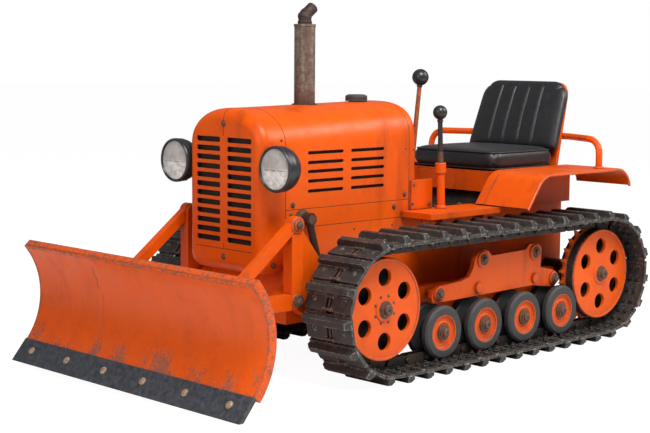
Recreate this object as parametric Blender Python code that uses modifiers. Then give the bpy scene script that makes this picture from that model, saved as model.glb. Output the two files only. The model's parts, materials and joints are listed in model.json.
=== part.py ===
"""Small crawler bulldozer: steel tracks, straight blade, open seat, upright exhaust.

Frame: +X forward, +Y to the machine's left, +Z up, metres. Pieces are laid out from the point
midway between the idler and sprocket axles, at ground level, and hang on one empty that moves
this point so that the whole machine is centred on the origin.
"""

import math

import bmesh
import bpy
from mathutils import Euler, Matrix, Vector

# ---------------------------------------------------------------- driving dimensions
GAP = 0.0003                      # clearance between pieces that rest on each other
SEGMENTS = 16                     # steps around a round piece

# running gear
AXLE_HALF = 0.696                 # half the distance between idler and sprocket axles
AXLE_Z = 0.2875                   # height of both axles
TRACK_INNER_Y = 0.353             # inboard edge of the shoes
TRACK_OUTER_Y = 0.600             # outboard edge of the shoes
SHOE_COUNT = 39
SHOE_PLATE = 0.019                # thickness of a shoe plate
GROUSER_HEIGHT = 0.028
GROUSER_ROOT = 0.036              # grouser width where it leaves the plate
GROUSER_TIP = 0.025               # grouser width at its tip
TRACK_PHASE = -0.010              # place of one grouser of the top run, from mid-length
CHAIN_HEIGHT = 0.040              # link rails, from the shoe plate inwards
RAIL_WIDTH = 0.012
RAIL_SPACING = 0.032              # between the middles of the two rails
WHEEL_DISC_RADIUS = 0.200
WHEEL_FACE_Y = 0.530
WHEEL_INNER_Y = 0.450
WHEEL_HOLES = 6
WHEEL_HOLE_RADIUS = 0.034
WHEEL_HOLE_CIRCLE = 0.125
SPROCKET_TEETH = 28
SPROCKET_TOOTH = 0.028
SPROCKET_THICKNESS = 0.016
SHAFT_RADIUS = 0.042
ROLLER_XS = (0.354, 0.097, -0.160, -0.415)
ROLLER_RADIUS = 0.108
ROLLER_HUB_RADIUS = 0.060
ROLLER_FACE_Y = 0.533
ROLLER_RIM = 0.031
ROLLER_INNER_Y = 0.418
FRAME_PLATE_Y = 0.4545            # inboard side of the shaped side plate
FRAME_PLATE = 0.020
BEAM_INNER_Y = 0.365
BEAM_OUTER_Y = 0.4150
BEAM_WALL = 0.020

# body
BODY_HALF = 0.2235                # half width over the main frame and the hood
FRAME_FRONT = 0.930
FRAME_REAR = -0.800
FRAME_BOTTOM = 0.215
FRAME_TOP = 0.588
FRAME_WALL = 0.014
BAND_TOP = 0.6597                 # top of the band under the hood
HOOD_FRONT = 0.935
HOOD_REAR = 0.243
COWL_REAR = 0.198
HOOD_SIDE_TOP = 0.900             # where the straight side turns into the crown
HOOD_CROWN_FRONT = 0.147
HOOD_CROWN_REAR = 0.161
HOOD_SHEET = 0.005
COWL_SHEET = 0.008
NOSE_FRONT = 1.056
NOSE_BOTTOM = 0.412
NOSE_CORNER = 0.060
NOSE_EDGE = 0.045                 # rounding of the front edges
NOSE_SHEET = 0.006
SLOT_ROWS = 12
SLOT_BOTTOM = 0.527
SLOT_TOP = 0.936
SLOT_OPEN_SHARE = 0.60            # open part of the slot pitch
SLOT_INNER_Y = 0.021
SLOT_OUTER_Y = 0.163
LOUVRE_ZS = (0.876, 0.838, 0.803, 0.766, 0.727)
LOUVRE_HEIGHT = 0.013
LOUVRE_COLUMNS = ((0.624, 0.817), (0.392, 0.581))

ENGINE_REAR = 0.300
ENGINE_FRONT = 0.860
ENGINE_HALF = 0.170
ENGINE_TOP = 0.930
STACK_X = 0.629
STACK_RADIUS = 0.0425
STACK_TOP = 1.376
COLLAR_RADIUS = 0.029
COLLAR_HEIGHT = 0.036
TIP_RADIUS = 0.0225
TIP_LENGTH = 0.072
TIP_RISE = math.radians(37.0)
CAP_X = 0.332
CAP_RADIUS = 0.047
CAP_HEIGHT = 0.028
NECK_RADIUS = 0.030
LAMP_X = 1.062
LAMP_Y = 0.300
LAMP_Z = 0.829
LAMP_RADIUS = 0.088
LAMP_BOWL_RADIUS = 0.0752

# operator's place
GEARBOX_HALF = 0.170
GEARBOX_TOP = 0.600
SEAT_STAND_TOP = 0.655
FOOTPLATE_TOP = 0.613
FOOTPLATE_OUTER_Y = 0.393
FOOTPLATE_REAR = -0.160
FOOTPLATE_FRONT = 0.290
FENDER_INNER_Y = 0.262
FENDER_OUTER_Y = 0.555
FENDER_TOP = 0.757
FENDER_SHEET = 0.008
SEAT_FRONT = -0.275
SEAT_REAR = -0.700
SEAT_HALF = 0.250
SEAT_BASE_TOP = 0.7385
SEAT_PAN = 0.008
CUSHION_TOP = 0.835
BACK_TOP = 1.130
BACK_TOP_HALF = 0.226
BACK_CORNER = 0.065
SHELL_SHEET = 0.018
RAIL_RADIUS = 0.015
RAIL_LEG_X = -0.700
RAIL_LEG_Y = 0.500
RAIL_Z = 0.885
RAIL_BEND = 0.065
RAIL_BASE_RADIUS = 0.024
RAIL_BASE_HEIGHT = 0.008

# blade and its linkage
BLADE_HALF = 0.701
BLADE_RADIUS = 0.293              # of the concave face
BLADE_CENTRE_X = 1.734
BLADE_CENTRE_Z = 0.290
BLADE_TOP_ANGLE = 41.0            # degrees above and below the level through the centre
BLADE_BOTTOM_ANGLE = 39.5
BLADE_DEPTH = 0.034               # of the flanges around the back
BLADE_PLATE = 0.012
EDGE_LENGTH = 0.106
EDGE_THICKNESS = 0.016
EDGE_PROUD = 0.004
EDGE_SLOPE = math.radians(90 - BLADE_BOTTOM_ANGLE)   # of the cutting edge, below level
PIVOT_X = 0.974
PIVOT_Z = 0.327
BRACE_PIN_Z = 0.617
LINK_INNER_Y = 0.300              # inboard side of posts, braces and push arms
LINK_OUTER_Y = 0.336
POST_WIDTH = 0.058
EYE_RADIUS = 0.033
PIN_RADIUS = 0.016
PIN_HEAD_RADIUS = 0.024
PIN_HEAD = 0.0085
CRANK_INNER_Y = 0.287             # inboard side of the bell-crank plate
BRACE_DEPTH = 0.040
BRACE_RISE = 0.008                # of the bar's middle above its pin
BRACE_SLOPE = math.radians(37.3)
ARM_BOTTOM = 0.295
ARM_TOP = 0.355
LIFT_TOP_X = 0.849
LIFT_TOP_Z = 0.624
LIFT_LOW_X = 0.775
LIFT_LOW_Z = 0.370
LIFT_Y = 0.264
BARREL_RADIUS = 0.015
BARREL_LENGTH = 0.170
BARREL_BORE = 0.0103
BORE_START = 0.038
ROD_RADIUS = 0.010
ROD_START = 0.062
ROD_EYE_RADIUS = 0.020
ROD_EYE_WIDTH = 0.021
LIFT_EYE_RADIUS = 0.026
LIFT_EYE_WIDTH = 0.032
LIFT_PIN_RADIUS = 0.012
LIFT_PIN_HEAD_RADIUS = 0.018

# rear hitch
HITCH_PLATE = 0.020
HITCH_HALF = 0.090
HITCH_BOTTOM = 0.270
HITCH_TOP = 0.420
DRAWBAR_LENGTH = 0.125
DRAWBAR_HALF = 0.045
DRAWBAR_THICKNESS = 0.030
DRAWBAR_Z = 0.300
DRAWBAR_HOLE = 0.0135

# ---------------------------------------------------------------- worked-out places
TRACK_TIP_RADIUS = AXLE_Z
PLATE_OUTER = TRACK_TIP_RADIUS - GROUSER_HEIGHT
PLATE_INNER = PLATE_OUTER - SHOE_PLATE
CHAIN_INNER = WHEEL_DISC_RADIUS + GAP
TRACK_MIDDLE_Y = (TRACK_INNER_Y + TRACK_OUTER_Y) / 2
ROLLER_Z = AXLE_Z - PLATE_INNER + GAP + ROLLER_RADIUS
SPROCKET_TIP = WHEEL_DISC_RADIUS + SPROCKET_TOOTH + 0.006
EDGE_DIR = (math.cos(EDGE_SLOPE), -math.sin(EDGE_SLOPE))
EDGE_NORMAL = (math.sin(EDGE_SLOPE), math.cos(EDGE_SLOPE))


def arc(centre_x, centre_z, radius, start, end, steps):
    """Points on an arc, by angles in degrees, ends included."""
    points = []
    for step in range(steps + 1):
        angle = math.radians(start + (end - start) * step / steps)
        points.append((centre_x + radius * math.cos(angle), centre_z + radius * math.sin(angle)))
    return points


BLADE_FOOT = arc(BLADE_CENTRE_X, BLADE_CENTRE_Z, BLADE_RADIUS, 180 + BLADE_BOTTOM_ANGLE, 180, 1)[0]
EDGE_FRONT = tuple(foot + EDGE_PROUD * normal + EDGE_LENGTH * along
                   for foot, normal, along in zip(BLADE_FOOT, EDGE_NORMAL, EDGE_DIR))
MACHINE_FRONT = EDGE_FRONT[0]
MACHINE_REAR = -AXLE_HALF - TRACK_TIP_RADIUS
ORIGIN_SHIFT = -(MACHINE_FRONT + MACHINE_REAR) / 2

# ---------------------------------------------------------------- scene set-up
for leftover in list(bpy.data.objects):
    bpy.data.objects.remove(leftover)

MACHINE = bpy.data.collections.new("crawler_bulldozer")
TOOLS = bpy.data.collections.new("cutters")
bpy.context.scene.collection.children.link(MACHINE)
bpy.context.scene.collection.children.link(TOOLS)


def empty(name, location, parent=None):
    holder = bpy.data.objects.new(name, None)
    MACHINE.objects.link(holder)
    holder.location = location
    holder.parent = parent
    return holder


CENTRE = empty("machine_centre", (ORIGIN_SHIFT, 0, 0))
BLADE_AXIS = empty("blade_axis", (PIVOT_X, 0, PIVOT_Z), CENTRE)


def make_material(name, colour, roughness, metallic):
    material = bpy.data.materials.new(name)
    material.use_nodes = True
    shader = material.node_tree.nodes["Principled BSDF"]
    shader.inputs["Base Color"].default_value = (*colour, 1)
    shader.inputs["Roughness"].default_value = roughness
    shader.inputs["Metallic"].default_value = metallic
    return material


FINISHES = {
    "orange": ((0.76, 0.10, 0.005), 0.45, 0.0),
    "edge_steel": ((0.05, 0.055, 0.06), 0.50, 0.8),
    "track_steel": ((0.045, 0.042, 0.040), 0.55, 0.8),
    "rubber": ((0.022, 0.022, 0.024), 0.75, 0.0),
    "rusty": ((0.13, 0.075, 0.045), 0.70, 0.4),
    "cast": ((0.05, 0.045, 0.040), 0.70, 0.3),
    "vinyl": ((0.014, 0.014, 0.017), 0.45, 0.0),
    "lamp": ((0.02, 0.021, 0.023), 0.35, 0.2),
}


def settle(thing, name, finish, parent=None):
    """Name a finished object, give it its own material and hang it on its parent."""
    thing.name = name
    thing.data.name = name
    thing.data.materials.clear()
    thing.data.materials.append(make_material(name, *FINISHES[finish]))
    holder = parent or CENTRE
    if holder is not CENTRE:
        thing.location = Vector(thing.location) - Vector(holder.location)
    thing.parent = holder
    return thing


def add_object(name, mesh, tool=False):
    thing = bpy.data.objects.new(name, mesh)
    (TOOLS if tool else MACHINE).objects.link(thing)
    if tool:
        thing.parent = CENTRE
        thing.hide_render = True
        thing.display_type = "WIRE"
    return thing


PLANES = {                         # outline plane -> rotation of a flat outline drawn in XY
    "x": (math.pi / 2, 0, math.pi / 2),
    "y": (math.pi / 2, 0, 0),
    "z": (0, 0, 0),
}


def prism(name, loops, axis, low, high, tool=False):
    """Flat outline with optional holes, extruded along an axis from low to high.

    Outline points are (y, z) for axis x, (x, z) for axis y and (x, y) for axis z.
    """
    curve = bpy.data.curves.new(name, "CURVE")
    curve.dimensions = "2D"
    curve.fill_mode = "BOTH"
    curve.extrude = (high - low) / 2
    for loop in loops:
        spline = curve.splines.new("POLY")
        spline.points.add(len(loop) - 1)
        for point, (across, along) in zip(spline.points, loop):
            point.co = (across, along, 0, 1)
        spline.use_cyclic_u = True
    drawn = bpy.data.objects.new(name, curve)
    bpy.context.scene.collection.objects.link(drawn)
    bpy.context.view_layer.update()
    evaluated = drawn.evaluated_get(bpy.context.evaluated_depsgraph_get())
    mesh = bpy.data.meshes.new_from_object(evaluated)
    bpy.data.objects.remove(drawn)
    bpy.data.curves.remove(curve)
    weld(mesh)
    thing = add_object(name, mesh, tool)
    middle = (low + high) / 2
    thing.location = tuple(middle if axis == own else 0 for own in "xyz")
    thing.rotation_euler = PLANES[axis]
    return thing


def weld(mesh):
    solid = bmesh.new()
    solid.from_mesh(mesh)
    bmesh.ops.remove_doubles(solid, verts=solid.verts, dist=0.00005)
    bmesh.ops.recalc_face_normals(solid, faces=solid.faces)
    solid.to_mesh(mesh)
    solid.free()


def box(name, low, high, tool=False):
    """Rectangular block between two corners."""
    mesh = bpy.data.meshes.new(name)
    solid = bmesh.new()
    size = Vector(high) - Vector(low)
    bmesh.ops.create_cube(solid, size=1, matrix=Matrix.Diagonal((*size, 1)))
    solid.to_mesh(mesh)
    solid.free()
    thing = add_object(name, mesh, tool)
    thing.location = (Vector(low) + Vector(high)) / 2
    return thing


def turned(name, profile, location, rotation, tool=False, steps=SEGMENTS, closed=False):
    """Solid of revolution. The profile is (radius, height), from the top down its outer side."""
    mesh = bpy.data.meshes.new(name)
    count = len(profile)
    pairs = [(index, index + 1) for index in range(count - 1)]
    if closed:
        pairs.append((count - 1, 0))
    mesh.from_pydata([(radius, 0, height) for radius, height in profile], pairs, [])
    thing = add_object(name, mesh, tool)
    screw = thing.modifiers.new("turn", "SCREW")
    screw.steps = steps
    screw.render_steps = steps
    screw.use_merge_vertices = True
    screw.merge_threshold = 0.00005
    thing.location = location
    thing.rotation_euler = rotation
    return thing


def rod(name, radius, start, end, tool=False, steps=SEGMENTS):
    """Plain cylinder between two points."""
    way = Vector(end) - Vector(start)
    profile = [(0, way.length), (radius, way.length), (radius, 0), (0, 0)]
    turn = way.to_track_quat("Z", "Y").to_euler()
    return turned(name, profile, start, turn, tool, steps)


def combine(thing, other, operation):
    modifier = thing.modifiers.new(other.name, "BOOLEAN")
    modifier.operation = operation
    modifier.solver = "EXACT"
    modifier.object = other
    return thing


def soften(thing, width, segments=2, angle=40):
    bevel = thing.modifiers.new("soft_edges", "BEVEL")
    bevel.width = width
    bevel.segments = segments
    bevel.limit_method = "ANGLE"
    bevel.angle_limit = math.radians(angle)
    return thing


def joined_boxes(name, corners):
    """One cutter made of several separate blocks."""
    mesh = bpy.data.meshes.new(name)
    solid = bmesh.new()
    for low, high in corners:
        size = Vector(high) - Vector(low)
        middle = (Vector(low) + Vector(high)) / 2
        bmesh.ops.create_cube(solid, size=1, matrix=Matrix.Translation(middle) @ Matrix.Diagonal((*size, 1)))
    solid.to_mesh(mesh)
    solid.free()
    return add_object(name, mesh, tool=True)


def joined_rods(name, radius, ends, steps=SEGMENTS):
    """One cutter made of several separate cylinders along Y: (x, z, low y, high y)."""
    mesh = bpy.data.meshes.new(name)
    solid = bmesh.new()
    for across, up, low, high in ends:
        place = Matrix.Translation((across, (low + high) / 2, up)) @ Euler((math.pi / 2, 0, 0)).to_matrix().to_4x4()
        bmesh.ops.create_cone(solid, cap_ends=True, segments=steps, radius1=radius, radius2=radius,
                              depth=high - low, matrix=place)
    solid.to_mesh(mesh)
    solid.free()
    return add_object(name, mesh, tool=True)


def bore_around(pin):
    """Radius of a bore whose flats clear a turning pin's corners."""
    return (pin + GAP) / math.cos(math.pi / SEGMENTS)


def span(side, inner, outer):
    """Low and high y of a piece that reaches from inner to outer on one side."""
    return (inner, outer) if side > 0 else (-outer, -inner)


def outward(side):
    """Rotation that points a turned piece's height away from the machine's middle."""
    return (-math.pi / 2, 0, 0) if side > 0 else (math.pi / 2, 0, 0)


SIDES = (("left", 1), ("right", -1))


# ---------------------------------------------------------------- running gear
def stadium(radius, steps=16):
    """Closed loop around both axles at one distance from them."""
    front = arc(AXLE_HALF, AXLE_Z, radius, -90, 90, steps)
    rear = arc(-AXLE_HALF, AXLE_Z, radius, 90, 270, steps)
    return front + rear


def loop_place(travel, radius):
    """Point and outward direction at a distance along the loop, from mid-length of the top run."""
    bend = math.pi * radius
    straight = 2 * AXLE_HALF
    travel = travel % (2 * straight + 2 * bend)
    if travel < AXLE_HALF:
        return Vector((travel, AXLE_Z + radius)), Vector((0, 1))
    travel -= AXLE_HALF
    if travel < bend:
        angle = math.pi / 2 - travel / radius
        out = Vector((math.cos(angle), math.sin(angle)))
        return Vector((AXLE_HALF, AXLE_Z)) + out * radius, out
    travel -= bend
    if travel < straight:
        return Vector((AXLE_HALF - travel, AXLE_Z - radius)), Vector((0, -1))
    travel -= straight
    if travel < bend:
        angle = -math.pi / 2 - travel / radius
        out = Vector((math.cos(angle), math.sin(angle)))
        return Vector((-AXLE_HALF, AXLE_Z)) + out * radius, out
    return Vector((-AXLE_HALF + travel - bend, AXLE_Z + radius)), Vector((0, 1))


def shoe_band(name, low, high):
    """Endless band of shoes with grousers: a ring of faces drawn at y = low, then extruded to high."""
    length = 4 * AXLE_HALF + 2 * math.pi * PLATE_INNER
    mesh = bpy.data.meshes.new(name)
    solid = bmesh.new()
    ring = []
    for shoe in range(SHOE_COUNT):
        middle, out = loop_place(TRACK_PHASE + shoe * length / SHOE_COUNT, PLATE_INNER)
        middle += out * SHOE_PLATE
        ahead = Vector((out.y, -out.x))
        corners = []
        for shift, rise in ((-GROUSER_ROOT, 0), (-GROUSER_TIP, GROUSER_HEIGHT),
                            (GROUSER_TIP, GROUSER_HEIGHT), (GROUSER_ROOT, 0)):
            corners.append(middle + ahead * shift / 2 + out * rise)
        inner = [corner - out * SHOE_PLATE for corner in (corners[0], corners[3])]
        corners, inner = [[solid.verts.new((point.x, low, point.y)) for point in group] for group in (corners, inner)]
        solid.faces.new([*corners, inner[1], inner[0]])
        ring.append((corners, inner))
    for (corners, inner), (next_corners, next_inner) in zip(ring, ring[1:] + ring[:1]):
        solid.faces.new((corners[3], next_corners[0], next_inner[0], inner[1]))
    grown = bmesh.ops.extrude_face_region(solid, geom=solid.faces[:])
    tips = [item for item in grown["geom"] if isinstance(item, bmesh.types.BMVert)]
    bmesh.ops.translate(solid, vec=(0, high - low, 0), verts=tips)
    bmesh.ops.recalc_face_normals(solid, faces=solid.faces)
    solid.to_mesh(mesh)
    solid.free()
    return add_object(name, mesh)


def track(label, side):
    band = shoe_band("track_" + label, *span(side, TRACK_INNER_Y, TRACK_OUTER_Y))
    for number, offset in enumerate((-RAIL_SPACING / 2, RAIL_SPACING / 2)):
        middle = TRACK_MIDDLE_Y + offset
        reach = span(side, middle - RAIL_WIDTH / 2, middle + RAIL_WIDTH / 2)
        rail = prism("link_rail_%s_%d" % (label, number),
                     [stadium(PLATE_INNER + SHOE_PLATE / 2, 10), stadium(CHAIN_INNER / math.cos(math.pi / 20), 10)], "y", *reach, tool=True)
        combine(band, rail, "UNION")
    settle(band, "track_" + label, "track_steel")


def wheel_holes(name, centre_x, side):
    ends = []
    for hole in range(WHEEL_HOLES):
        angle = math.radians(90 + 360 / WHEEL_HOLES * hole)
        ends.append((centre_x + WHEEL_HOLE_CIRCLE * math.cos(angle),
                     AXLE_Z + WHEEL_HOLE_CIRCLE * math.sin(angle),
                     *span(side, WHEEL_INNER_Y + 0.012, WHEEL_FACE_Y + 0.01)))
    return joined_rods(name, WHEEL_HOLE_RADIUS, ends, 12)


def wheel_profile(inner_end):
    """Disc wheel: heights are y, from the hub cap inwards to the end of the hub."""
    web_outer = WHEEL_FACE_Y - 0.008
    rim = WHEEL_DISC_RADIUS - 0.012
    return [
        (0, WHEEL_FACE_Y + 0.026), (0.026, WHEEL_FACE_Y + 0.026),
        (0.026, WHEEL_FACE_Y + 0.006), (0.050, WHEEL_FACE_Y + 0.006), (0.050, web_outer),
        (rim, web_outer), (rim, WHEEL_FACE_Y), (WHEEL_DISC_RADIUS, WHEEL_FACE_Y),
        (WHEEL_DISC_RADIUS, WHEEL_INNER_Y), (SHAFT_RADIUS, WHEEL_INNER_Y), (SHAFT_RADIUS, inner_end),
        (0, inner_end)]


def idler(label, side):
    wheel = turned("idler_" + label, wheel_profile(BEAM_OUTER_Y + GAP), (AXLE_HALF, 0, AXLE_Z),
                   outward(side), steps=28)
    combine(wheel, wheel_holes("idler_holes_" + label, AXLE_HALF, side), "DIFFERENCE")
    settle(wheel, "idler_" + label, "orange")


def gear_outline(centre_x):
    points = []
    root = SPROCKET_TIP - SPROCKET_TOOTH
    for tooth in range(SPROCKET_TEETH):
        start = 2 * math.pi * tooth / SPROCKET_TEETH
        pitch = 2 * math.pi / SPROCKET_TEETH
        for share, radius in ((0.0, root), (0.5, SPROCKET_TIP)):
            angle = start + share * pitch
            points.append((centre_x + radius * math.cos(angle), AXLE_Z + radius * math.sin(angle)))
    return points


def sprocket(label, side):
    wheel = turned("sprocket_" + label, wheel_profile(BODY_HALF + GAP), (-AXLE_HALF, 0, AXLE_Z),
                   outward(side), steps=28)
    reach = span(side, TRACK_MIDDLE_Y - SPROCKET_THICKNESS / 2, TRACK_MIDDLE_Y + SPROCKET_THICKNESS / 2)
    bore = arc(-AXLE_HALF, AXLE_Z, WHEEL_DISC_RADIUS - 0.022, 0, 360 - 360 / 16, 15)
    ring = prism("sprocket_teeth_" + label, [gear_outline(-AXLE_HALF), bore], "y", *reach, tool=True)
    combine(wheel, ring, "UNION")
    combine(wheel, wheel_holes("sprocket_holes_" + label, -AXLE_HALF, side), "DIFFERENCE")
    settle(wheel, "sprocket_" + label, "orange")


def roller(label, side, number, centre_x):
    inner_rim = ROLLER_INNER_Y + ROLLER_RIM
    outer_rim = ROLLER_FACE_Y - ROLLER_RIM
    dish = ROLLER_RADIUS - 0.026
    profile = [
        (0, ROLLER_FACE_Y + 0.014), (0.024, ROLLER_FACE_Y + 0.014), (0.024, ROLLER_FACE_Y - 0.010),
        (dish, ROLLER_FACE_Y - 0.010), (dish, ROLLER_FACE_Y), (ROLLER_RADIUS, ROLLER_FACE_Y),
        (ROLLER_RADIUS, outer_rim), (ROLLER_HUB_RADIUS, outer_rim),
        (ROLLER_HUB_RADIUS, inner_rim), (ROLLER_RADIUS, inner_rim), (ROLLER_RADIUS, ROLLER_INNER_Y),
        (0.030, ROLLER_INNER_Y), (0.030, BEAM_OUTER_Y + GAP), (0, BEAM_OUTER_Y + GAP)]
    wheel = turned("roller", profile, (centre_x, 0, ROLLER_Z), outward(side), steps=16)
    settle(wheel, "roller_%s_%d" % (label, number), "rubber")


FRAME_PLATE_OUTLINE = [
    (0.363, 0.265), (0.372, 0.290), (0.362, 0.312), (0.324, 0.331), (0.190, 0.339), (0.140, 0.352),
    (0.117, 0.385), (0.103, 0.430), (0.080, 0.450), (0.049, 0.456), (0.020, 0.448), (-0.001, 0.427),
    (-0.225, 0.432), (-0.250, 0.452), (-0.287, 0.456), (-0.318, 0.448), (-0.336, 0.427), (-0.331, 0.347),
    (-0.412, 0.329), (-0.438, 0.318), (-0.450, 0.292), (-0.447, 0.266), (-0.430, 0.254), (-0.391, 0.256),
    (-0.270, 0.273), (0.065, 0.268)]
FRAME_BOSSES = ((0.330, 0.301), (0.058, 0.416), (-0.287, 0.416), (-0.421, 0.290), (0.085, 0.302), (-0.290, 0.302))


def track_frame(label, side):
    plate_outer = FRAME_PLATE_Y + FRAME_PLATE
    plate = prism("track_frame_" + label, [FRAME_PLATE_OUTLINE], "y", *span(side, FRAME_PLATE_Y, plate_outer))
    hanger = [(-0.500, 0.135), (0.440, 0.135), (0.470, 0.250), (AXLE_HALF + 0.035, 0.250),
              (AXLE_HALF + 0.035, 0.325), (-0.500, 0.325)]
    web = prism("hanger_" + label, [hanger], "y", *span(side, BEAM_OUTER_Y - BEAM_WALL, BEAM_OUTER_Y), tool=True)
    combine(plate, web, "UNION")
    low, high = span(side, BEAM_INNER_Y, BEAM_OUTER_Y - BEAM_WALL / 2)
    beam = box("beam_" + label, (-0.500, low, 0.255), (AXLE_HALF + 0.035, high, 0.325), tool=True)
    combine(plate, beam, "UNION")
    low, high = span(side, BODY_HALF + GAP, BEAM_INNER_Y + BEAM_WALL / 2)
    crossing = joined_rods("cross_tubes_" + label, 0.030, [(0.300, 0.290, low, high), (-0.330, 0.290, low, high)], 16)
    combine(plate, crossing, "UNION")
    low, high = span(side, BEAM_OUTER_Y - BEAM_WALL / 2, FRAME_PLATE_Y + FRAME_PLATE / 2)
    spacers = joined_rods("spacers_" + label, 0.016,
                          [(across, up, low, high) for across, up in FRAME_BOSSES if up < 0.325 - 0.016], 10)
    combine(plate, spacers, "UNION")
    low, high = span(side, plate_outer - FRAME_PLATE / 2, plate_outer + 0.012)
    bosses = joined_rods("bosses_" + label, 0.022, [(across, up, low, high) for across, up in FRAME_BOSSES], 10)
    combine(plate, bosses, "UNION")
    settle(plate, "track_frame_" + label, "orange")


# ---------------------------------------------------------------- body
def crown(half, side_top, rise, power, steps=7):
    """Upper outline of the hood from the right side over the top to the left side."""
    points = []
    for step in range(2 * steps + 1):
        angle = math.pi * (1 - step / (2 * steps))
        across = math.copysign(abs(math.cos(angle)) ** (2 / power), math.cos(angle))
        up = abs(math.sin(angle)) ** (2 / power)
        points.append((half * across, side_top + rise * up))
    return points


def hood_top_at(x):
    share = (HOOD_FRONT - x) / (HOOD_FRONT - HOOD_REAR)
    return HOOD_SIDE_TOP + HOOD_CROWN_FRONT + (HOOD_CROWN_REAR - HOOD_CROWN_FRONT) * share


def main_frame():
    tub = box("main_frame", (FRAME_REAR, -BODY_HALF, FRAME_BOTTOM), (FRAME_FRONT, BODY_HALF, FRAME_TOP))
    inside = box("frame_inside", (FRAME_REAR + FRAME_WALL, -BODY_HALF + FRAME_WALL, FRAME_BOTTOM + FRAME_WALL),
                 (FRAME_FRONT - FRAME_WALL, BODY_HALF - FRAME_WALL, FRAME_TOP + 0.1), tool=True)
    combine(tub, inside, "DIFFERENCE")
    settle(tub, "main_frame", "orange")


def engine_block():
    floor = FRAME_BOTTOM + FRAME_WALL + GAP
    block = box("engine_block", (ENGINE_REAR, -ENGINE_HALF, floor), (ENGINE_FRONT, ENGINE_HALF, ENGINE_TOP))
    settle(block, "engine_block", "cast")


def transmission_housing():
    floor = FRAME_BOTTOM + FRAME_WALL + GAP
    outline = [(FRAME_REAR + FRAME_WALL + 0.03, floor), (ENGINE_REAR - 0.06, floor), (ENGINE_REAR - 0.06, 0.540),
               (COWL_REAR - 0.04, GEARBOX_TOP), (SEAT_FRONT - 0.010, GEARBOX_TOP),
               (SEAT_FRONT - 0.040, SEAT_STAND_TOP - GAP), (SEAT_REAR, SEAT_STAND_TOP - GAP),
               (FRAME_REAR + FRAME_WALL + 0.03, 0.560)]
    housing = prism("transmission_housing", [outline], "y", -GEARBOX_HALF, GEARBOX_HALF)
    settle(housing, "transmission_housing", "cast")


def hood_base():
    band = box("hood_base", (HOOD_REAR, -BODY_HALF, FRAME_TOP + GAP), (HOOD_FRONT - GAP, BODY_HALF, BAND_TOP))
    inside = box("band_inside", (HOOD_REAR + FRAME_WALL, -BODY_HALF + FRAME_WALL, FRAME_TOP - 0.05),
                 (HOOD_FRONT - FRAME_WALL, BODY_HALF - FRAME_WALL, BAND_TOP + 0.05), tool=True)
    combine(band, inside, "DIFFERENCE")
    settle(band, "hood_base", "orange")


def lofted_arch(name, stations):
    """Open arch skin through sections: (x, half width, bottom z, crown rise, crown power)."""
    mesh = bpy.data.meshes.new(name)
    skin = bmesh.new()
    rows = []
    for x, half, bottom, rise, power in stations:
        section = [(-half, bottom)] + crown(half, HOOD_SIDE_TOP, rise, power) + [(half, bottom)]
        rows.append([skin.verts.new((x, y, z)) for y, z in section])
    for front, back in zip(rows, rows[1:]):
        for first in range(len(front) - 1):
            skin.faces.new((front[first], back[first], back[first + 1], front[first + 1]))
    bmesh.ops.recalc_face_normals(skin, faces=skin.faces)
    if sum(face.normal.z for face in skin.faces) < 0:
        bmesh.ops.reverse_faces(skin, faces=skin.faces)
    skin.to_mesh(mesh)
    skin.free()
    return add_object(name, mesh)


def thicken(thing, thickness):
    solid = thing.modifiers.new("sheet", "SOLIDIFY")
    solid.thickness = thickness
    solid.offset = -1
    solid.use_even_offset = True
    return thing


def hood():
    bottom = BAND_TOP + GAP
    skin = lofted_arch("hood", [(HOOD_FRONT - GAP, BODY_HALF, bottom, HOOD_CROWN_FRONT, 2.2),
                                (HOOD_REAR, BODY_HALF, bottom, HOOD_CROWN_REAR, 2.7)])
    thicken(skin, HOOD_SHEET)
    slots = []
    for low, high in LOUVRE_COLUMNS:
        for middle in LOUVRE_ZS:
            for _, side in SIDES:
                inner, outer = span(side, BODY_HALF - 0.02, BODY_HALF + 0.02)
                slots.append(((low, inner, middle - LOUVRE_HEIGHT / 2), (high, outer, middle + LOUVRE_HEIGHT / 2)))
    combine(skin, joined_boxes("louvre_slots", slots), "DIFFERENCE")
    for name, x, radius in (("stack_hole", STACK_X, STACK_RADIUS + 0.001), ("neck_hole", CAP_X, NECK_RADIUS + 0.001)):
        hole = rod(name, radius, (x, 0, hood_top_at(x) - 0.05), (x, 0, hood_top_at(x) + 0.05), tool=True)
        combine(skin, hole, "DIFFERENCE")
    settle(skin, "hood", "orange")


def rounded_cap(name, outline, back_x, front_x, edge, sheet):
    """Hollow cap with a rounded front: an outline in YZ from its open side to its face."""
    mesh = bpy.data.meshes.new(name)
    solid = bmesh.new()
    ring = [solid.verts.new((back_x, y, z)) for y, z in outline]
    face = solid.faces.new(ring)
    grown = bmesh.ops.extrude_face_region(solid, geom=[face])
    tips = [item for item in grown["geom"] if isinstance(item, bmesh.types.BMVert)]
    bmesh.ops.translate(solid, vec=(front_x - back_x, 0, 0), verts=tips)
    rim = [edge_ for edge_ in solid.edges if all(abs(vert.co.x - front_x) < 1e-6 for vert in edge_.verts)]
    bmesh.ops.bevel(solid, geom=rim, offset=edge, segments=4, profile=0.5, affect="EDGES", clamp_overlap=True)
    open_faces = [item for item in solid.faces if all(abs(vert.co.x - back_x) < 1e-6 for vert in item.verts)]
    bmesh.ops.delete(solid, geom=open_faces, context="FACES_ONLY")
    bmesh.ops.recalc_face_normals(solid, faces=solid.faces)
    lead = max(solid.faces, key=lambda item: item.calc_area() * abs(item.normal.x))
    if lead.normal.x * (front_x - back_x) < 0:
        bmesh.ops.reverse_faces(solid, faces=solid.faces)
    solid.to_mesh(mesh)
    solid.free()
    return thicken(add_object(name, mesh), sheet)


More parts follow.
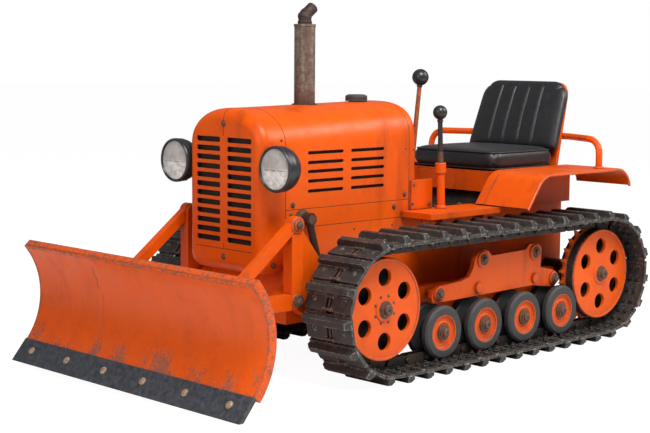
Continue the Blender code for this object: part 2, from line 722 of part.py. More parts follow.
def cowl():
    bottom = FOOTPLATE_TOP + GAP
    outline = [(-BODY_HALF, bottom)] + crown(BODY_HALF, HOOD_SIDE_TOP, HOOD_CROWN_REAR, 2.7) + [(BODY_HALF, bottom)]
    cap = rounded_cap("cowl", outline, HOOD_REAR - GAP, COWL_REAR, 0.022, COWL_SHEET)
    settle(cap, "cowl", "orange")


def grille_shell():
    low_left = arc(BODY_HALF - NOSE_CORNER, NOSE_BOTTOM + NOSE_CORNER, NOSE_CORNER, 0, -90, 4)
    low_right = arc(-BODY_HALF + NOSE_CORNER, NOSE_BOTTOM + NOSE_CORNER, NOSE_CORNER, -90, -180, 4)
    outline = crown(BODY_HALF, HOOD_SIDE_TOP, HOOD_CROWN_FRONT, 2.2) + low_left + low_right
    cap = rounded_cap("grille_shell", outline, HOOD_FRONT, NOSE_FRONT, NOSE_EDGE, NOSE_SHEET)
    pitch = (SLOT_TOP - SLOT_BOTTOM) / (SLOT_ROWS - 1 + SLOT_OPEN_SHARE)
    slots = []
    for row in range(SLOT_ROWS):
        low = SLOT_BOTTOM + row * pitch
        for _, side in SIDES:
            inner, outer = span(side, SLOT_INNER_Y, SLOT_OUTER_Y)
            slots.append(((NOSE_FRONT - 0.04, inner, low), (NOSE_FRONT + 0.02, outer, low + pitch * SLOT_OPEN_SHARE)))
    combine(cap, joined_boxes("grille_slots", slots), "DIFFERENCE")
    settle(cap, "grille_shell", "orange")


def radiator_core():
    core = box("radiator_core", (HOOD_FRONT, -0.170, NOSE_BOTTOM + 0.03), (NOSE_FRONT - 0.075, 0.170, 0.955))
    settle(core, "radiator_core", "cast")


def exhaust():
    profile = [(0, STACK_TOP), (STACK_RADIUS + 0.0025, STACK_TOP), (STACK_RADIUS + 0.0025, STACK_TOP - 0.012),
               (STACK_RADIUS, STACK_TOP - 0.012), (STACK_RADIUS, ENGINE_TOP + GAP), (0, ENGINE_TOP + GAP)]
    settle(turned("exhaust_stack", profile, (STACK_X, 0, 0), (0, 0, 0)), "exhaust_stack", "rusty")
    base = STACK_TOP + GAP
    collar = rod("exhaust_tip", COLLAR_RADIUS, (STACK_X, 0, base), (STACK_X, 0, base + COLLAR_HEIGHT))
    aim = Vector((-math.cos(TIP_RISE), 0, math.sin(TIP_RISE)))
    start = Vector((STACK_X + 0.012, 0, base + COLLAR_HEIGHT - 0.010))
    spout = rod("spout", TIP_RADIUS, start, start + aim * TIP_LENGTH, tool=True)
    bore = rod("spout_bore", TIP_RADIUS - 0.004, start + aim * (TIP_LENGTH * 0.45), start + aim * (TIP_LENGTH + 0.02),
               tool=True)
    combine(combine(collar, spout, "UNION"), bore, "DIFFERENCE")
    settle(collar, "exhaust_tip", "rusty")


def fuel_cap():
    seat = hood_top_at(CAP_X - CAP_RADIUS) + GAP
    top = seat + CAP_HEIGHT
    profile = [(0, top), (CAP_RADIUS - 0.012, top), (CAP_RADIUS - 0.006, top - 0.003), (CAP_RADIUS, top - 0.006),
               (CAP_RADIUS, seat + 0.004), (CAP_RADIUS - 0.005, seat), (NECK_RADIUS, seat),
               (NECK_RADIUS, ENGINE_TOP + GAP), (0, ENGINE_TOP + GAP)]
    settle(turned("fuel_cap", profile, (CAP_X, 0, 0), (0, 0, 0)), "fuel_cap", "lamp")


def headlamp(label, side):
    profile = [(0, 0.006), (0.045, 0.004), (0.081, -0.003), (LAMP_RADIUS - 0.003, 0), (LAMP_RADIUS, -0.004),
               (LAMP_RADIUS, -0.016), (LAMP_BOWL_RADIUS + 0.004, -0.030), (LAMP_BOWL_RADIUS, -0.044),
               (LAMP_BOWL_RADIUS, -0.072), (0.062, -0.085), (0.035, -0.094), (0, -0.097)]
    lamp = turned("headlamp_" + label, profile, (LAMP_X, side * LAMP_Y, LAMP_Z), (0, math.pi / 2, 0), steps=16)
    low, high = span(side, BODY_HALF + GAP, LAMP_Y - LAMP_BOWL_RADIUS + 0.010)
    foot = box("lamp_foot_" + label, (LAMP_X - 0.070, low, LAMP_Z - 0.012), (LAMP_X - 0.046, high, LAMP_Z + 0.012),
               tool=True)
    combine(lamp, foot, "UNION")
    settle(lamp, "headlamp_" + label, "lamp")


# ---------------------------------------------------------------- operator's place
def footplate(label, side):
    inner = BODY_HALF - FRAME_WALL + GAP
    beside = BODY_HALF + GAP
    outline = [(FOOTPLATE_REAR, inner), (HOOD_REAR - 0.001, inner), (HOOD_REAR - 0.001, beside),
               (FOOTPLATE_FRONT, beside), (FOOTPLATE_FRONT, FOOTPLATE_OUTER_Y), (FOOTPLATE_REAR, FOOTPLATE_OUTER_Y)]
    outline = [(x, side * y) for x, y in outline]
    plate = prism("footplate_" + label, [outline], "z", FRAME_TOP + GAP, FOOTPLATE_TOP)
    settle(plate, "footplate_" + label, "orange")


def filleted(points, radii, steps=6):
    """Open path with its inner corners rounded by arcs of the given radii."""
    path = [Vector(points[0])]
    for before, corner, after, radius in zip(points, points[1:], points[2:], radii):
        corner = Vector(corner)
        back = (Vector(before) - corner).normalized()
        ahead = (Vector(after) - corner).normalized()
        half = back.angle(ahead) / 2
        centre = corner + (back + ahead).normalized() * (radius / math.sin(half))
        start = corner + back * (radius / math.tan(half)) - centre
        end = corner + ahead * (radius / math.tan(half)) - centre
        turn = start.angle_signed(end)
        for step in range(steps + 1):
            angle = -turn * step / steps
            spun = Vector((start.x * math.cos(angle) - start.y * math.sin(angle),
                           start.x * math.sin(angle) + start.y * math.cos(angle)))
            path.append(centre + spun)
    path.append(Vector(points[-1]))
    return path


def offset_path(path, distance):
    """Path moved sideways, to the left of its direction."""
    moved = []
    for index, point in enumerate(path):
        before = path[max(index - 1, 0)]
        after = path[min(index + 1, len(path) - 1)]
        way = (after - before).normalized()
        moved.append(point + Vector((-way.y, way.x)) * distance)
    return moved


def fender_path():
    """Upper side of the fender sheet, from its front foot to its rear lip."""
    foot = (FOOTPLATE_REAR + 0.022, FOOTPLATE_TOP + 0.0055)
    return filleted([foot, (foot[0] - 0.105, FENDER_TOP), (SEAT_REAR - 0.045, FENDER_TOP),
                     (SEAT_REAR - 0.168, FENDER_TOP - 0.100)], (0.110, 0.160))


def fender(label, side):
    top = fender_path()
    under = offset_path(top, FENDER_SHEET)
    middle = offset_path(top, FENDER_SHEET / 2)
    sheet = prism("fender_" + label, [[tuple(p) for p in top] + [tuple(p) for p in reversed(under)]], "y",
                  *span(side, FENDER_INNER_Y, FENDER_OUTER_Y))
    foot_z = FRAME_TOP + GAP
    wall_rear = FRAME_REAR
    wall_front = FOOTPLATE_REAR - 0.010
    skirt = [tuple(p) for p in middle if wall_rear < p.x < wall_front - 0.01]
    skirt = [(wall_front, foot_z), (wall_front, 0.640)] + skirt + [(wall_rear, 0.700), (wall_rear, foot_z)]
    wall = prism("fender_wall_" + label, [skirt], "y", *span(side, FENDER_INNER_Y, FENDER_INNER_Y + FENDER_SHEET),
                 tool=True)
    low, high = span(side, BODY_HALF - FRAME_WALL + GAP, FENDER_INNER_Y + FENDER_SHEET / 2)
    flange = box("fender_flange_" + label, (wall_rear, low, foot_z), (wall_front, high, foot_z + FENDER_SHEET), tool=True)
    combine(combine(sheet, wall, "UNION"), flange, "UNION")
    settle(sheet, "fender_" + label, "orange")


def seat_base():
    base = box("seat_base", (SEAT_REAR, -0.225, SEAT_STAND_TOP), (SEAT_FRONT, 0.225, SEAT_BASE_TOP))
    settle(base, "seat_base", "orange")


def back_outline(bottom, top, bottom_half, top_half, corner):
    """Seat back seen from the front: a tapered plate with rounded upper corners."""
    right = arc(top_half - corner, top - corner, corner, 0, 90, 4)
    left = arc(-top_half + corner, top - corner, corner, 90, 180, 4)
    return [(-bottom_half, bottom), (bottom_half, bottom)] + right + left


def reclined(name, outline, front_line, rear_line, bottom, top, tool=False):
    """Upright plate whose front and rear faces lean along two lines: x at bottom and at top."""
    plate = prism(name, [outline], "x", -0.5, 0.5, tool)
    for vertex in plate.data.vertices:
        share = (vertex.co.y - bottom) / (top - bottom)
        line = front_line if vertex.co.z > 0 else rear_line
        vertex.co.z = line[0] + (line[1] - line[0]) * share
    return plate


SHELL_LINE = (SEAT_REAR - 0.0155, SEAT_REAR - 0.1256)      # front of the shell at its bottom and top


def shell_front_at(z):
    return SHELL_LINE[0] + (SHELL_LINE[1] - SHELL_LINE[0]) * (z - SEAT_BASE_TOP) / (BACK_TOP - SEAT_BASE_TOP)


def seat():
    pan_low = SEAT_BASE_TOP + GAP
    pan_top = pan_low + SEAT_PAN
    rear_line = tuple(x - SHELL_SHEET for x in SHELL_LINE)
    outline = back_outline(pan_low, BACK_TOP, SEAT_HALF - 0.004, BACK_TOP_HALF + 0.002, BACK_CORNER)
    shell = reclined("seat_shell", outline, SHELL_LINE, rear_line, SEAT_BASE_TOP, BACK_TOP)
    pan = box("seat_pan", (SEAT_REAR - 0.025, -SEAT_HALF + 0.012, pan_low), (SEAT_FRONT - 0.004, SEAT_HALF - 0.012, pan_top),
              tool=True)
    combine(shell, pan, "UNION")
    settle(shell, "seat_shell", "orange")

    cushion = box("seat_cushion", (SEAT_REAR - 0.012, -SEAT_HALF, pan_top + GAP), (SEAT_FRONT, SEAT_HALF, CUSHION_TOP))
    soften(cushion, 0.022, 3)
    settle(cushion, "seat_cushion", "vinyl")

    low = CUSHION_TOP + GAP
    front = (SEAT_REAR + 0.010, SEAT_REAR - 0.100)
    rear = (shell_front_at(low) + GAP, shell_front_at(BACK_TOP) + GAP)
    outline = back_outline(low, BACK_TOP, SEAT_HALF, BACK_TOP_HALF, BACK_CORNER)
    settle(reclined("seat_back", outline, front, rear, low, BACK_TOP), "seat_back", "vinyl")


def seat_rail():
    behind = shell_front_at(RAIL_Z) - SHELL_SHEET - (RAIL_RADIUS + GAP) / math.cos(math.radians(15.7))
    foot = FENDER_TOP + GAP
    half = []
    half.append((RAIL_LEG_X, RAIL_LEG_Y, foot))
    half.append((RAIL_LEG_X, RAIL_LEG_Y, RAIL_Z - RAIL_BEND))
    for step in range(1, 6):
        angle = math.pi / 2 * step / 5
        half.append((RAIL_LEG_X - 0.010 * step / 5, RAIL_LEG_Y - RAIL_BEND * (1 - math.cos(angle)),
                     RAIL_Z - RAIL_BEND * (1 - math.sin(angle))))
    half.append((behind + 0.012, SEAT_HALF + 0.045, RAIL_Z))
    half.append((behind, SEAT_HALF + 0.012, RAIL_Z))
    points = half + [(x, -y, z) for x, y, z in reversed(half)]
    curve = bpy.data.curves.new("seat_rail", "CURVE")
    curve.dimensions = "3D"
    curve.bevel_depth = RAIL_RADIUS
    curve.bevel_resolution = 2
    curve.use_fill_caps = True
    spline = curve.splines.new("POLY")
    spline.points.add(len(points) - 1)
    for point, place in zip(spline.points, points):
        point.co = (*place, 1)
    rail = bpy.data.objects.new("seat_rail", curve)
    MACHINE.objects.link(rail)
    settle(rail, "seat_rail", "orange")


def lever(name, base, knob, stations, finish):
    """Leaning lever turned about the line from its base to the middle of its knob."""
    way = Vector(knob) - Vector(base)
    turn = way.to_track_quat("Z", "Y").to_euler()
    settle(turned(name, stations(way.length), base, turn, steps=12), name, finish)


def knob_profile(radius, centre, neck):
    """Ball on a neck: from its crown down to where it meets the neck."""
    steps = 6
    last = math.pi - math.asin(neck / radius)
    return [(radius * math.sin(last * step / steps), centre + radius * math.cos(last * step / steps))
            for step in range(steps + 1)]


def steering_stations(length):
    return knob_profile(0.032, length, 0.0115) + [
        (0.0115, 0.194), (0.0225, 0.194), (0.0225, 0.149), (0.0160, 0.149), (0.0160, 0.016), (0.0220, 0.016),
        (0.0220, 0), (0, 0)]


def gear_stations(length):
    base = [(0.028 * math.sin(math.radians(angle)), 0.028 * math.cos(math.radians(angle))) for angle in (26, 60, 90, 130, 160)]
    return knob_profile(0.0365, length, 0.0125) + [(0.0125, 0.030)] + base[0:] + [(0, -0.028)]


def levers():
    lever("steering_lever", (0.092, 0.270, FOOTPLATE_TOP + 0.0012), (0.107, 0.270, 1.015), steering_stations, "orange")
    lever("gear_lever", (0.006, 0, GEARBOX_TOP + 0.0284), (-0.064, 0, 1.157), gear_stations, "orange")


# ---------------------------------------------------------------- blade and linkage
def moldboard():
    outer = BLADE_RADIUS + BLADE_DEPTH
    front = arc(BLADE_CENTRE_X, BLADE_CENTRE_Z, BLADE_RADIUS, 180 - BLADE_TOP_ANGLE, 180 + BLADE_BOTTOM_ANGLE, 12)
    back = arc(BLADE_CENTRE_X, BLADE_CENTRE_Z, outer, 180 + BLADE_BOTTOM_ANGLE, 180 - BLADE_TOP_ANGLE, 12)
    board = prism("moldboard", [front + back], "y", -BLADE_HALF, BLADE_HALF)
    lip = math.degrees(BLADE_PLATE / outer)
    near = arc(BLADE_CENTRE_X, BLADE_CENTRE_Z, BLADE_RADIUS + BLADE_PLATE, 180 - BLADE_TOP_ANGLE + lip,
               180 + BLADE_BOTTOM_ANGLE - lip, 10)
    far = arc(BLADE_CENTRE_X, BLADE_CENTRE_Z, outer + 0.02, 180 + BLADE_BOTTOM_ANGLE - lip,
              180 - BLADE_TOP_ANGLE + lip, 10)
    bays = ((-BLADE_HALF + BLADE_PLATE, -LINK_OUTER_Y - 0.003), (-LINK_INNER_Y + 0.003, LINK_INNER_Y - 0.003),
            (LINK_OUTER_Y + 0.003, BLADE_HALF - BLADE_PLATE))
    for number, (low, high) in enumerate(bays):
        combine(board, prism("blade_bay_%d" % number, [near + far], "y", low, high, tool=True), "DIFFERENCE")
    settle(board, "moldboard", "orange", BLADE_AXIS)


def cutting_edge():
    top_front = Vector(BLADE_FOOT) + Vector(EDGE_NORMAL) * EDGE_PROUD + Vector(EDGE_DIR) * GAP
    top_back = top_front - Vector(EDGE_NORMAL) * EDGE_THICKNESS
    low_front = Vector(EDGE_FRONT)
    reach = (top_back.y - low_front.y) / math.sin(EDGE_SLOPE)
    low_back = top_back + Vector(EDGE_DIR) * reach
    outline = [tuple(p) for p in (top_front, low_front, low_back, top_back)]
    settle(prism("cutting_edge", [outline], "y", -BLADE_HALF, BLADE_HALF), "cutting_edge", "edge_steel", BLADE_AXIS)


def blade_back_at(z):
    """x of the blade's back at a height."""
    outer = BLADE_RADIUS + BLADE_DEPTH
    return BLADE_CENTRE_X - math.sqrt(outer ** 2 - (z - BLADE_CENTRE_Z) ** 2)


def brace_underside_at(x):
    """Height of the brace's lower face at a place along the machine."""
    return BRACE_PIN_Z + BRACE_RISE - BRACE_DEPTH / 2 / math.cos(BRACE_SLOPE) - (x - PIVOT_X) * math.tan(BRACE_SLOPE)


def post(label, side):
    """Upright with its bell-crank plate, which carries the brace pin and the lift pin."""
    top = BRACE_PIN_Z - EYE_RADIUS - GAP
    front = PIVOT_X + POST_WIDTH / 2
    corner = brace_underside_at(front) - 2 * GAP
    cut = front - (top - corner) / math.tan(BRACE_SLOPE)
    lower = arc(PIVOT_X, PIVOT_Z, POST_WIDTH / 2, 180, 360, 8)
    outline = lower + [(front, corner), (cut, top), (PIVOT_X - POST_WIDTH / 2, top)]
    bar = prism("post_" + label, [outline], "y", *span(side, LINK_INNER_Y, LINK_OUTER_Y))
    crank = (arc(PIVOT_X, PIVOT_Z, POST_WIDTH / 2, 250, 360, 5) +
             arc(PIVOT_X, BRACE_PIN_Z, POST_WIDTH / 2, 0, 150, 6) +
             arc(LIFT_LOW_X, LIFT_LOW_Z, ROD_EYE_RADIUS + 0.004, 150, 250, 4))
    plate = prism("crank_" + label, [crank], "y", *span(side, CRANK_INNER_Y, LINK_INNER_Y + 0.002), tool=True)
    combine(bar, plate, "UNION")
    low, high = span(side, CRANK_INNER_Y + 0.002, LINK_OUTER_Y + 0.002)
    combine(bar, joined_rods("brace_pin_" + label, PIN_RADIUS, [(PIVOT_X, BRACE_PIN_Z, low, high)]), "UNION")
    low, high = span(side, LINK_OUTER_Y + 0.0015, LINK_OUTER_Y + 0.0015 + PIN_HEAD)
    combine(bar, joined_rods("brace_pin_head_" + label, PIN_HEAD_RADIUS, [(PIVOT_X, BRACE_PIN_Z, low, high)], 6), "UNION")
    low, high = span(side, LIFT_Y + ROD_EYE_WIDTH / 2 + 0.0015, CRANK_INNER_Y + 0.004)
    combine(bar, joined_rods("lift_pin_" + label, LIFT_PIN_RADIUS, [(LIFT_LOW_X, LIFT_LOW_Z, low, high)], 16), "UNION")
    low, high = span(side, CRANK_INNER_Y - 0.01, LINK_OUTER_Y + 0.01)
    combine(bar, joined_rods("pivot_bore_" + label, bore_around(PIN_RADIUS), [(PIVOT_X, PIVOT_Z, low, high)]), "DIFFERENCE")
    settle(bar, "post_" + label, "orange", BLADE_AXIS)


def brace(label, side):
    """Square bar from the brace pin down onto the push arm, with an eye at its upper end."""
    along = Vector((math.cos(BRACE_SLOPE), -math.sin(BRACE_SLOPE)))
    across = Vector((math.sin(BRACE_SLOPE), math.cos(BRACE_SLOPE)))
    head = Vector((PIVOT_X, BRACE_PIN_Z + BRACE_RISE))
    low = ARM_TOP + GAP
    upper = head + across * BRACE_DEPTH / 2
    lower = head - across * BRACE_DEPTH / 2
    upper_end = upper + along * ((upper.y - low) / math.sin(BRACE_SLOPE))
    lower_end = lower + along * ((lower.y - low) / math.sin(BRACE_SLOPE))
    outline = [tuple(p) for p in (upper, upper_end, lower_end, lower)]
    bar = prism("brace_" + label, [outline], "y", *span(side, LINK_INNER_Y + 0.002 + GAP, LINK_OUTER_Y))
    reach = span(side, LINK_INNER_Y + 0.002 + GAP, LINK_OUTER_Y)
    combine(bar, joined_rods("brace_eye_" + label, EYE_RADIUS, [(PIVOT_X, BRACE_PIN_Z, *reach)]), "UNION")
    low, high = span(side, LINK_INNER_Y - 0.01, LINK_OUTER_Y + 0.01)
    combine(bar, joined_rods("brace_bore_" + label, PIN_RADIUS + GAP, [(PIVOT_X, BRACE_PIN_Z, low, high)]), "DIFFERENCE")
    settle(bar, "brace_" + label, "orange", BLADE_AXIS)


def push_arm(label, side):
    """Straight bar from the post to the back of the blade, its front end cut to the blade's curve."""
    steps = 4
    curve = []
    for step in range(steps + 1):
        z = ARM_BOTTOM + (ARM_TOP - ARM_BOTTOM) * step / steps
        curve.append((blade_back_at(z) - 0.0004, z))
    rear = PIVOT_X + POST_WIDTH / 2 + GAP
    outline = [(rear, ARM_BOTTOM)] + curve + [(rear, ARM_TOP)]
    settle(prism("push_arm_" + label, [outline], "y", *span(side, LINK_INNER_Y, LINK_OUTER_Y)),
           "push_arm_" + label, "orange", BLADE_AXIS)


def pivot_bracket(label, side):
    """Cheek on the side of the main frame with the pin that the post swings on."""
    outline = (arc(PIVOT_X, PIVOT_Z, 0.030, -60, 60, 6) +
               [(0.905, 0.400), (0.842, 0.418), (0.808, 0.290), (0.808, 0.262), (0.880, 0.250), (0.935, 0.288)])
    outer = CRANK_INNER_Y - 0.004
    cheek = prism("pivot_bracket_" + label, [outline], "y", *span(side, BODY_HALF + GAP, outer))
    low, high = span(side, outer - 0.01, LINK_OUTER_Y + 0.002)
    combine(cheek, joined_rods("pivot_pin_" + label, PIN_RADIUS, [(PIVOT_X, PIVOT_Z, low, high)]), "UNION")
    low, high = span(side, LINK_OUTER_Y + 0.0015, LINK_OUTER_Y + 0.0015 + PIN_HEAD)
    combine(cheek, joined_rods("pivot_pin_head_" + label, PIN_HEAD_RADIUS, [(PIVOT_X, PIVOT_Z, low, high)], 6), "UNION")
    settle(cheek, "pivot_bracket_" + label, "orange")


def lift_bracket(label, side):
    """Boss on the band under the hood with the pin that carries the top of the lift cylinder."""
    inner_face = LIFT_Y - LIFT_EYE_WIDTH / 2 - 0.0005
    outer_face = LIFT_Y + LIFT_EYE_WIDTH / 2 + 0.0005
    profile = [(0, outer_face + 0.004), (LIFT_PIN_HEAD_RADIUS, outer_face + 0.004), (LIFT_PIN_HEAD_RADIUS, outer_face),
               (LIFT_PIN_RADIUS, outer_face), (LIFT_PIN_RADIUS, inner_face), (0.024, inner_face),
               (0.028, BODY_HALF + 0.006), (0.036, BODY_HALF + 0.005), (0.036, BODY_HALF + GAP), (0, BODY_HALF + GAP)]
    settle(turned("lift_bracket", profile, (LIFT_TOP_X, 0, LIFT_TOP_Z), outward(side)), "lift_bracket_" + label, "rusty")


def lift_cylinder(label, side):
    top = Vector((LIFT_TOP_X, side * LIFT_Y, LIFT_TOP_Z))
    low = Vector((LIFT_LOW_X, side * LIFT_Y, LIFT_LOW_Z))
    aim = (low - top).normalized()
    hinge = empty("lift_hinge_" + label, top, CENTRE)
    slide = empty("lift_slide_" + label, low, CENTRE)

    tube = [(0, BORE_START), (BARREL_BORE, BORE_START), (BARREL_BORE, BARREL_LENGTH), (BARREL_RADIUS, BARREL_LENGTH),
            (BARREL_RADIUS, 0), (0, 0)]
    barrel = turned("lift_barrel", tube, top, aim.to_track_quat("Z", "Y").to_euler(), steps=16)
    reach = (side * LIFT_Y - LIFT_EYE_WIDTH / 2, side * LIFT_Y + LIFT_EYE_WIDTH / 2)
    eye = joined_rods("barrel_eye_" + label, LIFT_EYE_RADIUS, [(LIFT_TOP_X, LIFT_TOP_Z, *reach)])
    hole = joined_rods("barrel_pin_hole_" + label, bore_around(LIFT_PIN_RADIUS),
                       [(LIFT_TOP_X, LIFT_TOP_Z, reach[0] - 0.01, reach[1] + 0.01)])
    combine(combine(barrel, eye, "UNION"), hole, "DIFFERENCE")
    settle(barrel, "lift_barrel_" + label, "rusty", hinge)

    length = (low - top).length
    stem = rod("lift_rod", ROD_RADIUS, top + aim * ROD_START, top + aim * length, steps=16)
    reach = (side * LIFT_Y - ROD_EYE_WIDTH / 2, side * LIFT_Y + ROD_EYE_WIDTH / 2)
    eye = joined_rods("rod_eye_" + label, ROD_EYE_RADIUS, [(LIFT_LOW_X, LIFT_LOW_Z, *reach)])
    combine(stem, eye, "UNION")
    settle(stem, "lift_rod_" + label, "rusty", slide)


def rear_hitch():
    front = FRAME_REAR - GAP
    plate = box("rear_hitch", (front - HITCH_PLATE, -HITCH_HALF, HITCH_BOTTOM), (front, HITCH_HALF, HITCH_TOP))
    tongue = box("drawbar", (front - HITCH_PLATE - DRAWBAR_LENGTH, -DRAWBAR_HALF, DRAWBAR_Z),
                 (front - HITCH_PLATE / 2, DRAWBAR_HALF, DRAWBAR_Z + DRAWBAR_THICKNESS), tool=True)
    eye_x = front - HITCH_PLATE - DRAWBAR_LENGTH + 0.035
    hole = rod("drawbar_hole", DRAWBAR_HOLE, (eye_x, 0, DRAWBAR_Z - 0.02), (eye_x, 0, DRAWBAR_Z + 0.06), tool=True)
    combine(combine(plate, tongue, "UNION"), hole, "DIFFERENCE")
    settle(plate, "rear_hitch", "orange")


# ---------------------------------------------------------------- assembly
main_frame()
engine_block()
transmission_housing()
hood_base()
hood()
cowl()
grille_shell()
radiator_core()
exhaust()
fuel_cap()
seat_base()
seat()
seat_rail()
levers()
moldboard()
cutting_edge()
rear_hitch()
for LABEL, SIDE in SIDES:
    track(LABEL, SIDE)
    idler(LABEL, SIDE)
    sprocket(LABEL, SIDE)
    for NUMBER, ROLLER_X in enumerate(ROLLER_XS, start=1):
        roller(LABEL, SIDE, NUMBER, ROLLER_X)
    track_frame(LABEL, SIDE)
    headlamp(LABEL, SIDE)
    footplate(LABEL, SIDE)
    fender(LABEL, SIDE)
    post(LABEL, SIDE)
    brace(LABEL, SIDE)
    push_arm(LABEL, SIDE)
    pivot_bracket(LABEL, SIDE)
    lift_bracket(LABEL, SIDE)
    lift_cylinder(LABEL, SIDE)
bpy.context.view_layer.update()
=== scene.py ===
"""Looks of the small crawler bulldozer: finishes, fine parts, studio and camera."""
import json
import math

import bmesh
import bpy
from mathutils import Euler, Matrix, Vector


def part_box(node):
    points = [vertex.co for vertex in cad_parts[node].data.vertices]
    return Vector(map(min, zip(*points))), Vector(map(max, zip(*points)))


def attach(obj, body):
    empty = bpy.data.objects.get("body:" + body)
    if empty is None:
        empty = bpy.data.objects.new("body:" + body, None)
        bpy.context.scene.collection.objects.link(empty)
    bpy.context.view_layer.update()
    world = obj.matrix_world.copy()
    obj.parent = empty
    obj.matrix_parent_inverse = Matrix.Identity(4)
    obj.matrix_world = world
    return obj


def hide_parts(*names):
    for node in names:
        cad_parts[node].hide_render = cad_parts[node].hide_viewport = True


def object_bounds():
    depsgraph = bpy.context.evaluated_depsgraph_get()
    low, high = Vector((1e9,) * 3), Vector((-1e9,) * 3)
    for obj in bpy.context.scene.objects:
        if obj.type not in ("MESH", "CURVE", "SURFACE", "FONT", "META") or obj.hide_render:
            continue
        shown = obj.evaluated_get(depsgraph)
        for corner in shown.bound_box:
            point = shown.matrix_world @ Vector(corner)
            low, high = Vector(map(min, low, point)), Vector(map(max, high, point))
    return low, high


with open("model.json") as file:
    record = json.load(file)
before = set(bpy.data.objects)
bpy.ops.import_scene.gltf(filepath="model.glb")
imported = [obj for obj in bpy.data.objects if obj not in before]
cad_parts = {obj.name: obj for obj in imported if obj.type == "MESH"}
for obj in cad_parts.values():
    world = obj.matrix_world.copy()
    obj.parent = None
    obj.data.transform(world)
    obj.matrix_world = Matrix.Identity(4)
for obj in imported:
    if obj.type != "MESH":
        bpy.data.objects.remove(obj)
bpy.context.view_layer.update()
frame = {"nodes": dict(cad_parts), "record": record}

NODES = frame["nodes"]
SIDES = (("left", 1), ("right", -1))


def node_box(name):
    """Low and high corner of a CAD node."""
    low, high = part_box(name)
    return Vector(low), Vector(high)


def middle_of(name):
    low, high = node_box(name)
    return (low + high) / 2


MID_X = (middle_of("idler_left").x + middle_of("sprocket_left").x) / 2


def place(x, y, z):
    """Point given from the middle of the tracks' length, at ground level."""
    return Vector((MID_X + x, y, z))


# ---------------------------------------------------------------- colour and node graphs
def srgb(red, green, blue):
    """Linear colour from an 8-bit sRGB one."""
    def linear(value):
        value /= 255
        return value / 12.92 if value <= 0.04045 else ((value + 0.055) / 1.055) ** 2.4
    return (linear(red), linear(green), linear(blue), 1.0)


class Graph:
    """A material and short ways to add nodes to it."""

    def __init__(self, name):
        self.material = bpy.data.materials.new(name)
        self.material.use_nodes = True
        self.tree = self.material.node_tree
        self.shader = self.tree.nodes["Principled BSDF"]

    def feed(self, socket, value):
        if isinstance(value, bpy.types.NodeSocket):
            self.tree.links.new(value, socket)
        else:
            socket.default_value = value

    def add(self, kind, settings=None, out=0, **inputs):
        node = self.tree.nodes.new("ShaderNode" + kind)
        for key, value in (settings or {}).items():
            setattr(node, key, value)
        for key, value in inputs.items():
            numbered = key[0] == "i" and key[1:].isdigit()
            self.feed(node.inputs[int(key[1:]) if numbered else key.replace("_", " ")], value)
        return node.outputs[out]

    def spot(self):
        return self.add("TexCoord", out=3)

    def noise(self, scale, detail=3.0, roughness=0.55, vector=None, distortion=0.0):
        return self.add("TexNoise", Vector=vector or self.spot(), Scale=scale, Detail=detail,
                        Roughness=roughness, Distortion=distortion)

    def cells(self, scale, vector=None):
        return self.add("TexVoronoi", Vector=vector or self.spot(), Scale=scale)

    def stretch(self, x, y, z):
        return self.add("Mapping", Vector=self.spot(), Scale=(x, y, z))

    def ramp(self, value, low, high, start=0.0, end=1.0):
        """Smooth step of a value between low and high."""
        return self.add("MapRange", {"interpolation_type": "SMOOTHSTEP"}, Value=value,
                        i1=low, i2=high, i3=start, i4=end)

    def math(self, operation, first, second=0.0):
        return self.add("Math", {"operation": operation, "use_clamp": True}, i0=first, i1=second)

    def mix(self, share, first, second):
        node = self.tree.nodes.new("ShaderNodeMix")
        node.data_type = "RGBA"
        self.feed(node.inputs[0], share)
        self.feed(node.inputs[6], first)
        self.feed(node.inputs[7], second)
        return node.outputs[2]

    def axis(self, letter, vector=None):
        return self.add("SeparateXYZ", out="xyz".index(letter), Vector=vector or self.spot())

    def edges(self, radius):
        """1 along edges, 0 on flats."""
        bevel = self.add("Bevel", {"samples": 4}, Radius=radius)
        plain = self.add("NewGeometry", out=1)
        dot = self.add("VectorMath", {"operation": "DOT_PRODUCT"}, out=1, i0=bevel, i1=plain)
        return self.ramp(dot, 0.995, 0.93)

    def crevices(self, distance):
        """1 where surfaces crowd together, 0 in the open."""
        shade = self.add("AmbientOcclusion", {"samples": 4}, out=1, Distance=distance)
        return self.ramp(shade, 0.80, 0.30)

    def bump(self, height, strength, distance=0.001, soft_edge=0.0):
        normal = self.add("Bump", Height=height, Strength=strength, Distance=distance)
        if soft_edge:
            self.feed(normal.node.inputs["Normal"], self.add("Bevel", {"samples": 4},
                                                             Radius=soft_edge))
        self.feed(self.shader.inputs["Normal"], normal)

    def finish(self, colour, roughness, metallic=0.0, **fixed):
        self.feed(self.shader.inputs["Base Color"], colour)
        self.feed(self.shader.inputs["Roughness"], roughness)
        self.feed(self.shader.inputs["Metallic"], metallic)
        for key, value in fixed.items():
            self.shader.inputs[key.replace("_", " ")].default_value = value
        return self.material


